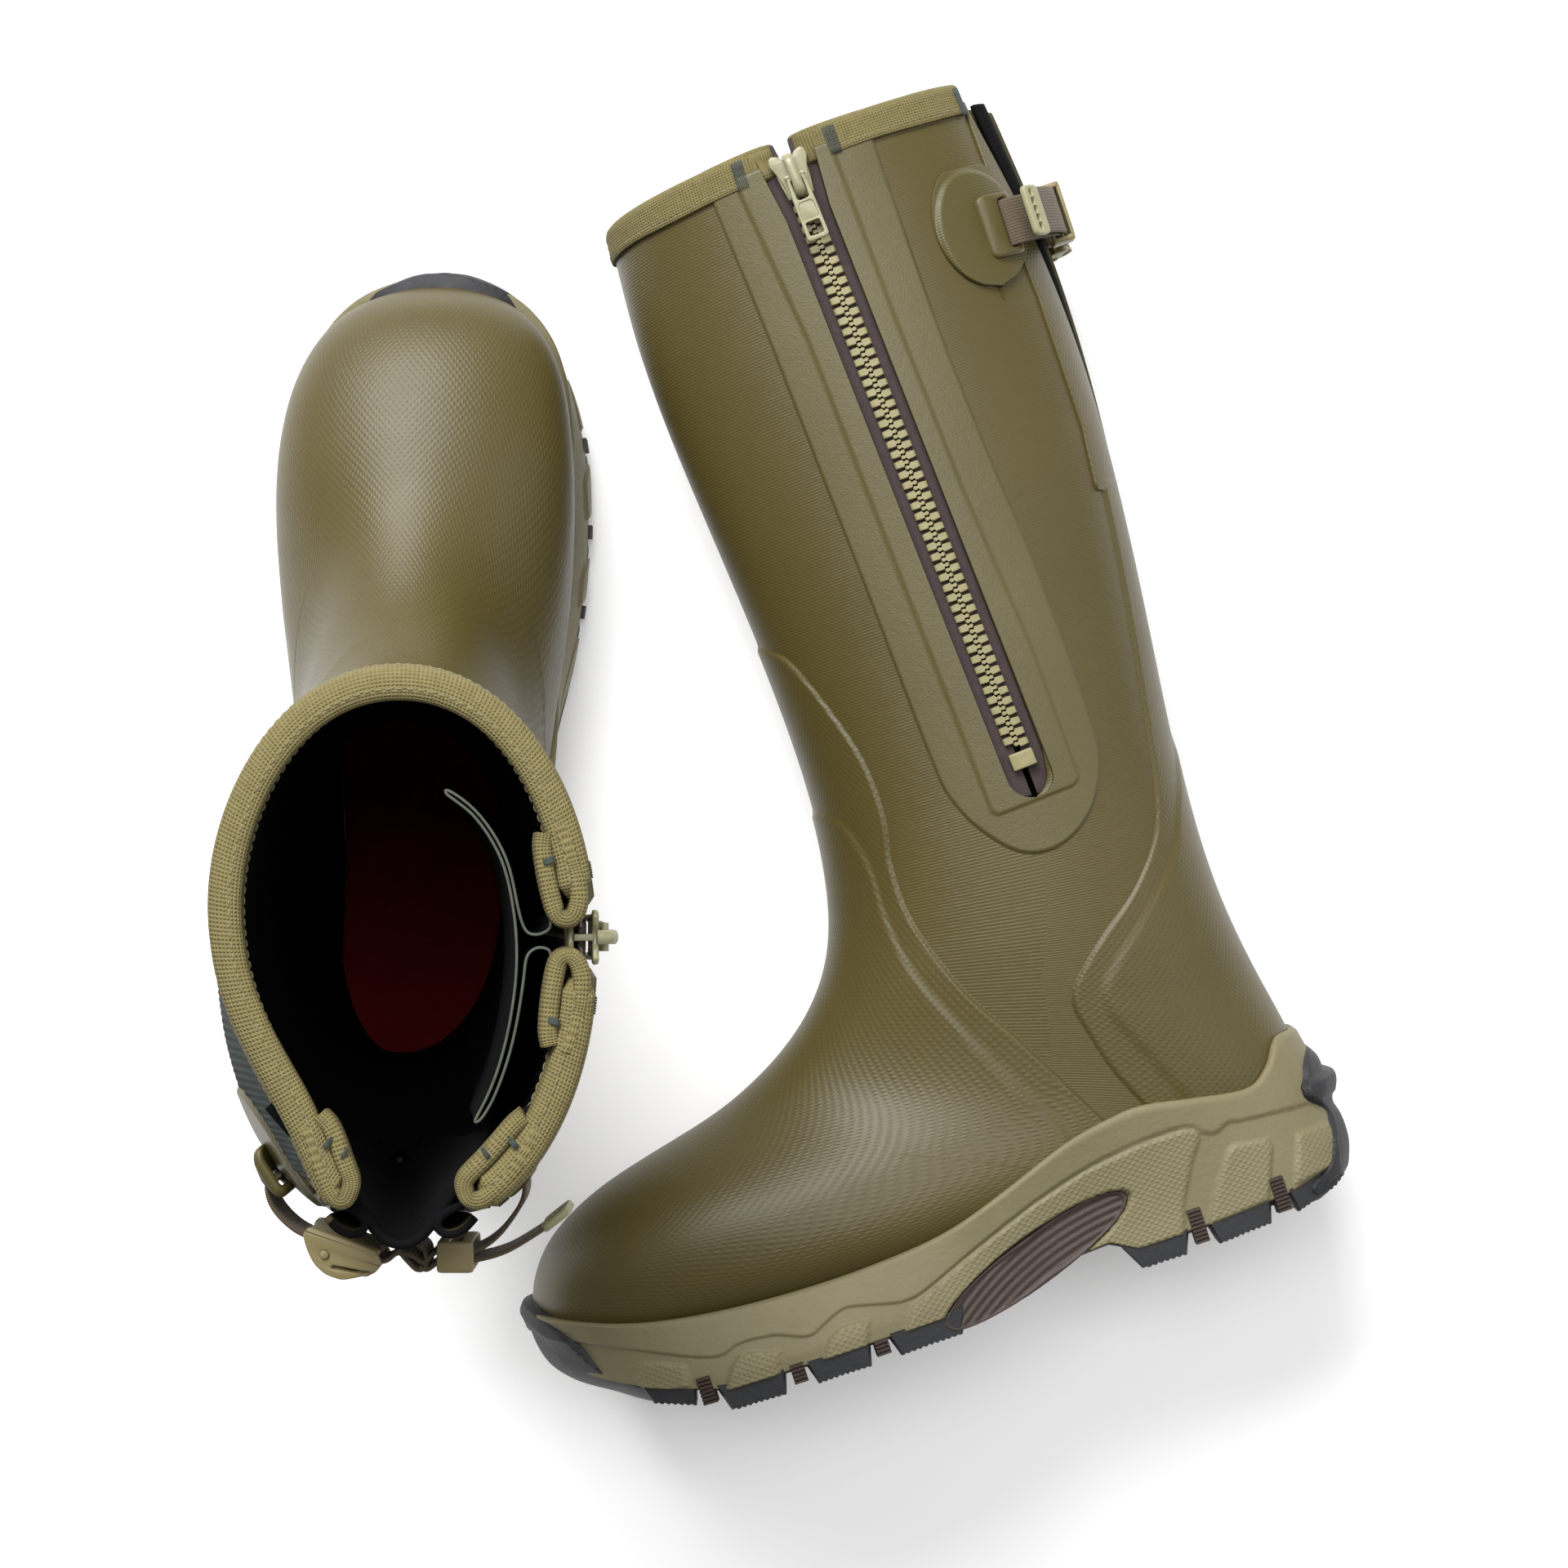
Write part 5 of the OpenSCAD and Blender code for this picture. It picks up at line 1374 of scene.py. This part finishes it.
foot_grid = skin("plain", np.linspace(4, toe_s, 150)[:, None], np.linspace(0, 360, 97)[None, :-1])
foot_tree = BVHTree.FromPolygons([tuple(p) for p in foot_grid.reshape(-1, 3)], grid_faces(150, 96, wrap=True))
notches = [(66, 6.0, 17), (33.5, 6.0, 19), (258.5, 6.5, 17), (224.5, 6.5, 12), (192.5, 6.5, 10)]
levels = 54
base_t, lug_h = 4.0, 7.0
wall = []
for (x, y), (nx, ny) in zip(wall_xy, wall_out):
    low = line_z(y, base_line) + 1.2
    high = float(np.interp(y, lip_line[:, 0], lip_line[:, 1]))
    hit = foot_tree.ray_cast(Vector((x + nx * 25, y + ny * 25, high)), Vector((-nx, -ny, 0)))[0]
    lip = np.array([x, y]) if hit is None else np.array([hit.x, hit.y]) + np.array([nx, ny]) * 3.2
    reach = min(max(float(np.dot(lip - [x, y], [nx, ny])), -16.0), 7.0)
    z = np.linspace(low, high, levels)
    v = (z - low) / (high - low)
    shift = reach * np.clip((v - 0.15) / 0.85, 0, 1) ** 1.35 + 0.5
    lift = midsole_height(np.full(levels, y), z)
    d = arch_distance(np.full(levels, y), z)[0]
    lift = np.where(d > -0.8, -2.2 * roll(d + 0.8, 0.9) + lift * (1 - roll(d + 0.8, 0.9)), lift)
    edge = np.clip((v - 0.94) / 0.06, 0, 1)
    total = shift + lift - 1.3 * edge ** 2 - 2.6 * (1 - v ** 3) * np.clip((y - 292) / 20, 0, 1)
    wall.append(np.stack([x + nx * total, y + ny * total, z], 1))
wall = np.array(wall)
count = len(wall)
inward = np.stack([wall_out[:, 0], wall_out[:, 1], 0 * wall_out[:, 0]], 1)
ledge = wall[:, -1] - inward * 4.0 - [0, 0, 1.2]
under = wall[:, 0] - inward * 6.0
rings = np.concatenate([under[:, None], wall, ledge[:, None]], 1)
up_wall = np.concatenate([wall[:, :1, 2] - 6, wall[:, :, 2], wall[:, -1:, 2] + 4], 1)
uv = np.stack([np.repeat(wall_at[:, None], levels + 2, 1), up_wall], -1).reshape(-1, 2)
wall_faces = [(i * (levels + 2) + j, ((i + 1) % count) * (levels + 2) + j,
               ((i + 1) % count) * (levels + 2) + j + 1, i * (levels + 2) + j + 1)
              for i in range(count) for j in range(levels + 1)]
wall_points = rings.reshape(-1, 3)
face_middle = wall_points[np.array(wall_faces)].mean(1)
textured = np.zeros(len(wall_faces), bool)
for panel in raised_panels:
    textured |= inside_distance(face_middle[:, 1], face_middle[:, 2], panel) > 0.5
panel_faces = {tuple(sorted(f)) for f, t in zip(wall_faces, textured) if t}
for side in SIDES:
    midsole = piece(side, "midsole", wall_points, wall_faces, midsole_rubber, ("midsole",),
                    uv)
    midsole.data.materials.append(panel_rubber)
    for polygon in midsole.data.polygons:
        polygon.material_index = int(tuple(sorted(polygon.vertices)) in panel_faces)
    face_outward(midsole)

# ---- Outsole ----
# Brown base strips, a carved oval insert at the arch, and black lugs with toothed treads. Black
# rubber also turns up over the toe and up the heel, where it ends in a spur.
def sole_rubber(name, base, deep, rough=0.62):
    m = surface_material(name, base, rough)
    colour_from(m, mottle(m, base, deep, 40.0, 0.6))
    roughness_from(m, fine_grain(m, 70), rough - 0.08, rough + 0.1)
    bump_from(m, [(fine_grain(m, 420, 4.0), 0.00035, 0.7)])
    return m


tread_rubber = sole_rubber("tread_rubber", (0.014, 0.0145, 0.0165), (0.009, 0.0095, 0.011))
brown_rubber = sole_rubber("brown_rubber", (0.046, 0.028, 0.021), (0.030, 0.018, 0.014), 0.55)


def outline_ring(grow, rise):
    """A closed ring round the sole, rise mm above the line where the lugs begin."""
    xy = wall_xy + wall_out * grow
    return np.stack([xy[:, 0], xy[:, 1], line_z(wall_xy[:, 1], base_line) + rise], 1)


def notch_section(low, high, pitch=1.5):
    """Section of a ribbed notch as (outward, z): ribs one pitch apart on the outer side."""
    ribbed = []
    for k in range(int((high - low) / pitch)):
        z = low + k * pitch
        ribbed += [(0.9, z), (2.0, z + 0.3), (2.0, z + 1.0), (0.9, z + 1.3)]
    return [(-4.0, low)] + ribbed + [(-4.0, high)]


def base_layer():
    """The brown layer's edge and underside, closed across the middle."""
    low, mid, high = outline_ring(-2.2, 0), outline_ring(-1.6, 0.6), outline_ring(-1.6, base_t)
    spine = np.stack([0.25 * low[:, 0], low[:, 1], low[:, 2]], 1)
    grid = np.stack([high, mid, low, spine], 1)
    faces = [(i * 4 + j, ((i + 1) % count) * 4 + j, ((i + 1) % count) * 4 + j + 1, i * 4 + j + 1)
             for i in range(count) for j in range(3)]
    return grid.reshape(-1, 3), faces + [tuple(i * 4 + 3 for i in range(count))]


def notch(y, wide, top, sign):
    """A ribbed block between two lugs on one side of the sole."""
    near = np.where((np.abs(wall_xy[:, 1] - y) < wide / 2) & (wall_xy[:, 0] * sign > 0))[0]
    section = notch_section(line_z(y, base_line) - 4.5, top)
    points = [(*(wall_xy[i] + wall_out[i] * out), z)
              for i in near[np.argsort(wall_xy[near, 1])] for out, z in section]
    return np.array(points), prism_faces(len(near), len(section))


def arch_insert(sign, rows=130, cols=33):
    """One arch insert with a raised rim and curved grooves."""
    near = [i for i in range(count) if abs(wall_xy[i, 1] - arch_at[0]) < 42 and wall_xy[i, 0] * sign > 0]
    near.sort(key=lambda i: wall_xy[i, 1])
    ys = np.linspace(wall_xy[near[0], 1], wall_xy[near[-1], 1], rows)
    heights = np.linspace(0, 40, 241)
    face, back = [], []
    for y in ys:
        x = np.interp(y, wall_xy[near, 1], wall_xy[near, 0])
        out = np.array([np.interp(y, wall_xy[near, 1], wall_out[near, k]) for k in (0, 1)])
        d = arch_distance(np.full(len(heights), y), heights)[0]
        inside = heights[d > 0]
        if len(inside) < 2:
            span = np.full(cols, heights[np.argmax(d)])
        else:
            span = np.linspace(-1, 1, cols) * (inside.max() - inside.min()) / 2
            span += (inside.min() + inside.max()) / 2
        dist, u, w = arch_distance(np.full(cols, y), span)
        wave = 0.5 + 0.5 * np.cos((w + 0.06 * u + 0.004 * u ** 2) * 2 * np.pi / 3.0)
        groove = 0.4 * wave * roll(dist - 2.2, 1.0)
        lift = 0.6 - 1.6 * (1 - roll(dist, 0.9)) + 0.5 * roll(2.4 - dist, 0.8) - groove
        face.append(np.stack([x + out[0] * lift, y + out[1] * lift, span], 1))
        back.append(face[-1] - [*(out * 3.0), 0])
    return np.array(face + back).reshape(-1, 3), slab_faces(rows, cols)


for side in SIDES:
    points, faces = merged([base_layer()] + [notch(*spot, sign) for spot in notches for sign in (1, -1)])
    face_outward(piece(side, "outsole_base", points, faces, brown_rubber, ("outsole_base",),
                       smooth=False))
    points, faces = merged([arch_insert(sign) for sign in (1, -1)])
    face_outward(piece(side, "arch_inserts", points, faces, brown_rubber, ("arch_inserts",)))


# Lugs: prisms drawn in side view, toothed along the tread, their edges broken by a chamfer
lug_spans = [(4.5, 6, 28.5, 30.5, 16), (36.5, 39.5, 60.5, 63, 17), (69.5, 73.5, 91, 98.5, 19),
             (158, 162.5, 186.5, 189.8, 18), (195.5, 198, 218.5, 221.5, 18), (228.2, 231, 252, 255.5, 18),
             (261.8, 264, 279, 283, 17)]


def lug_floor(y):
    return max(0.0, line_z(y, base_line) - (lug_h if y < 255 else 5.5))


def tread(top_0, low_0, low_1, top_1, buried=3.0):
    """Side-view line of a lug: slanted ends, and teeth along its underside."""
    n = max(3, int((low_1 - low_0) / 2.2))
    teeth = [(y, lug_floor(y) + (0.8 if k % 2 else 0.0))
             for k, y in enumerate(np.linspace(low_0, low_1, 2 * n + 1))]
    ends = [(y, line_z(y, base_line) + buried) for y in (top_1, (top_0 + top_1) / 2, top_0)]
    return teeth + ends


def lug_prism(line, x0, x1, chamfer=1.2):
    line = np.array(line, float)
    middle = line.mean(0)
    step = math.copysign(chamfer, x1 - x0)
    rings = [np.column_stack([np.full(len(line), x), middle + (line - middle) * k])
             for x, k in ((x0, 0.88), (x0 + step, 1.0), (x1 - step, 1.0), (x1, 0.9))]
    return np.concatenate(rings), prism_faces(4, len(line))


def outer_x(y, sign):
    return np.interp(y, [r[0] for r in sole_rows], [abs(r[2 if sign > 0 else 1]) for r in sole_rows])


# Bumpers: the outline squeezed towards a root line so that its tip follows the side-view line
toe_bumper = [(268, 12), (272, 9), (280, 8.5), (288, 9.5), (299, 16), (310.5, 23), (318.5, 32),
              (321.4, 43), (320.6, 53), (317, 58), (311, 55), (304, 47.5), (298, 38), (293, 29.5),
              (286, 23), (278, 18), (271, 15.5)]
heel_bumper = [(22, 1.5), (17, 2), (8.7, 4.9), (3, 9), (0.8, 13), (-1.2, 20), (-1.2, 29), (-0.6, 35),
               (-4.6, 42), (-5, 45.5), (-2, 47.5), (-2, 53), (2.5, 61), (5.5, 61), (8, 55), (11.5, 47),
               (12.5, 42), (9.5, 37), (7.5, 32), (8, 26), (10.5, 19), (15, 13), (22, 9.5)]


def bumper_shell(profile, root, tip, thick, levels=56, across=81):
    way = 1 if tip > root else -1
    ring = eased(profile, closed=True, steps=4)
    rows = []
    for z in np.linspace(ring[:, 1].min() + 0.15, ring[:, 1].max() - 0.15, levels):
        cross = [ya + (z - za) / (zb - za) * (yb - ya)
                 for (ya, za), (yb, zb) in zip(ring, np.roll(ring, -1, 0)) if (za > z) != (zb > z)]
        far, near = (max(cross), min(cross)) if way > 0 else (min(cross), max(cross))
        squeeze = (far - way * thick - root) / (tip - root)
        index = [i for i in range(count) if (wall_xy[i, 1] - root) * way > 0]
        index.sort(key=lambda i: math.atan2(wall_xy[i, 0] - 5, abs(wall_xy[i, 1] - root) + 1))
        base = []
        for i in index:
            column = wall[i]
            surface = float(np.interp(z, column[:, 2], (column[:, :2] - wall_xy[i]) @ wall_out[i]))
            x, y = wall_xy[i] + wall_out[i] * min(surface, 1.0)
            base.append((x, root + (y - root) * squeeze, *wall_out[i]))
        base = np.array(base)
        kept = base[(base[:, 1] - near) * way > 0]
        if len(kept) < 4:
            kept = base[np.argsort(-(base[:, 1] * way))[:4]]
            kept = kept[np.argsort(kept[:, 0])]
        at = np.r_[0, np.cumsum(np.hypot(*np.diff(kept[:, :2], axis=0).T))]
        t = np.linspace(0, at[-1], across)
        line = np.stack([np.interp(t, at, kept[:, k]) for k in range(4)], 1)
        lift = (thick + 0.5) * roll((line[:, 1] - near) * way + 0.2, 2.2) - 0.5
        outside = line[:, :2] + line[:, 2:] * lift[:, None]
        inside = line[:, :2] - line[:, 2:] * 3.2
        rows.append(np.column_stack([np.vstack([outside, inside[::-1]]), np.full(2 * across, z)]))
    return np.concatenate(rows), prism_faces(levels, 2 * across)


for side in SIDES:
    parts = [lug_prism(tread(31, 32, 57, 58, 1.0), -4.5, 4.5),
             bumper_shell(toe_bumper, 245, 318, 3.2), bumper_shell(heel_bumper, 45, 0, 2.6)]
    for top_0, low_0, low_1, top_1, wide in lug_spans:
        for sign in (1, -1):
            x1 = sign * 50.0
            points, faces = lug_prism(tread(top_0, low_0, low_1, top_1), x1 - sign * wide, x1)
            points[:, 0] += sign * (outer_x(points[:, 1], sign) + 0.9 - 50.0)
            parts.append((points, faces))
            if top_0 > 30:
                x0, x1 = (5, 24) if top_0 > 150 else (6.5, 19)
                inner_line = tread(top_0 + 3, top_0 + 4, top_0 + 15, top_0 + 16)
                parts.append(lug_prism(inner_line, sign * x0, sign * x1))
    points, faces = merged(parts)
    face_outward(piece(side, "outsole_lugs", points, faces, tread_rubber, ("outsole_lugs",),
                       smooth=False))
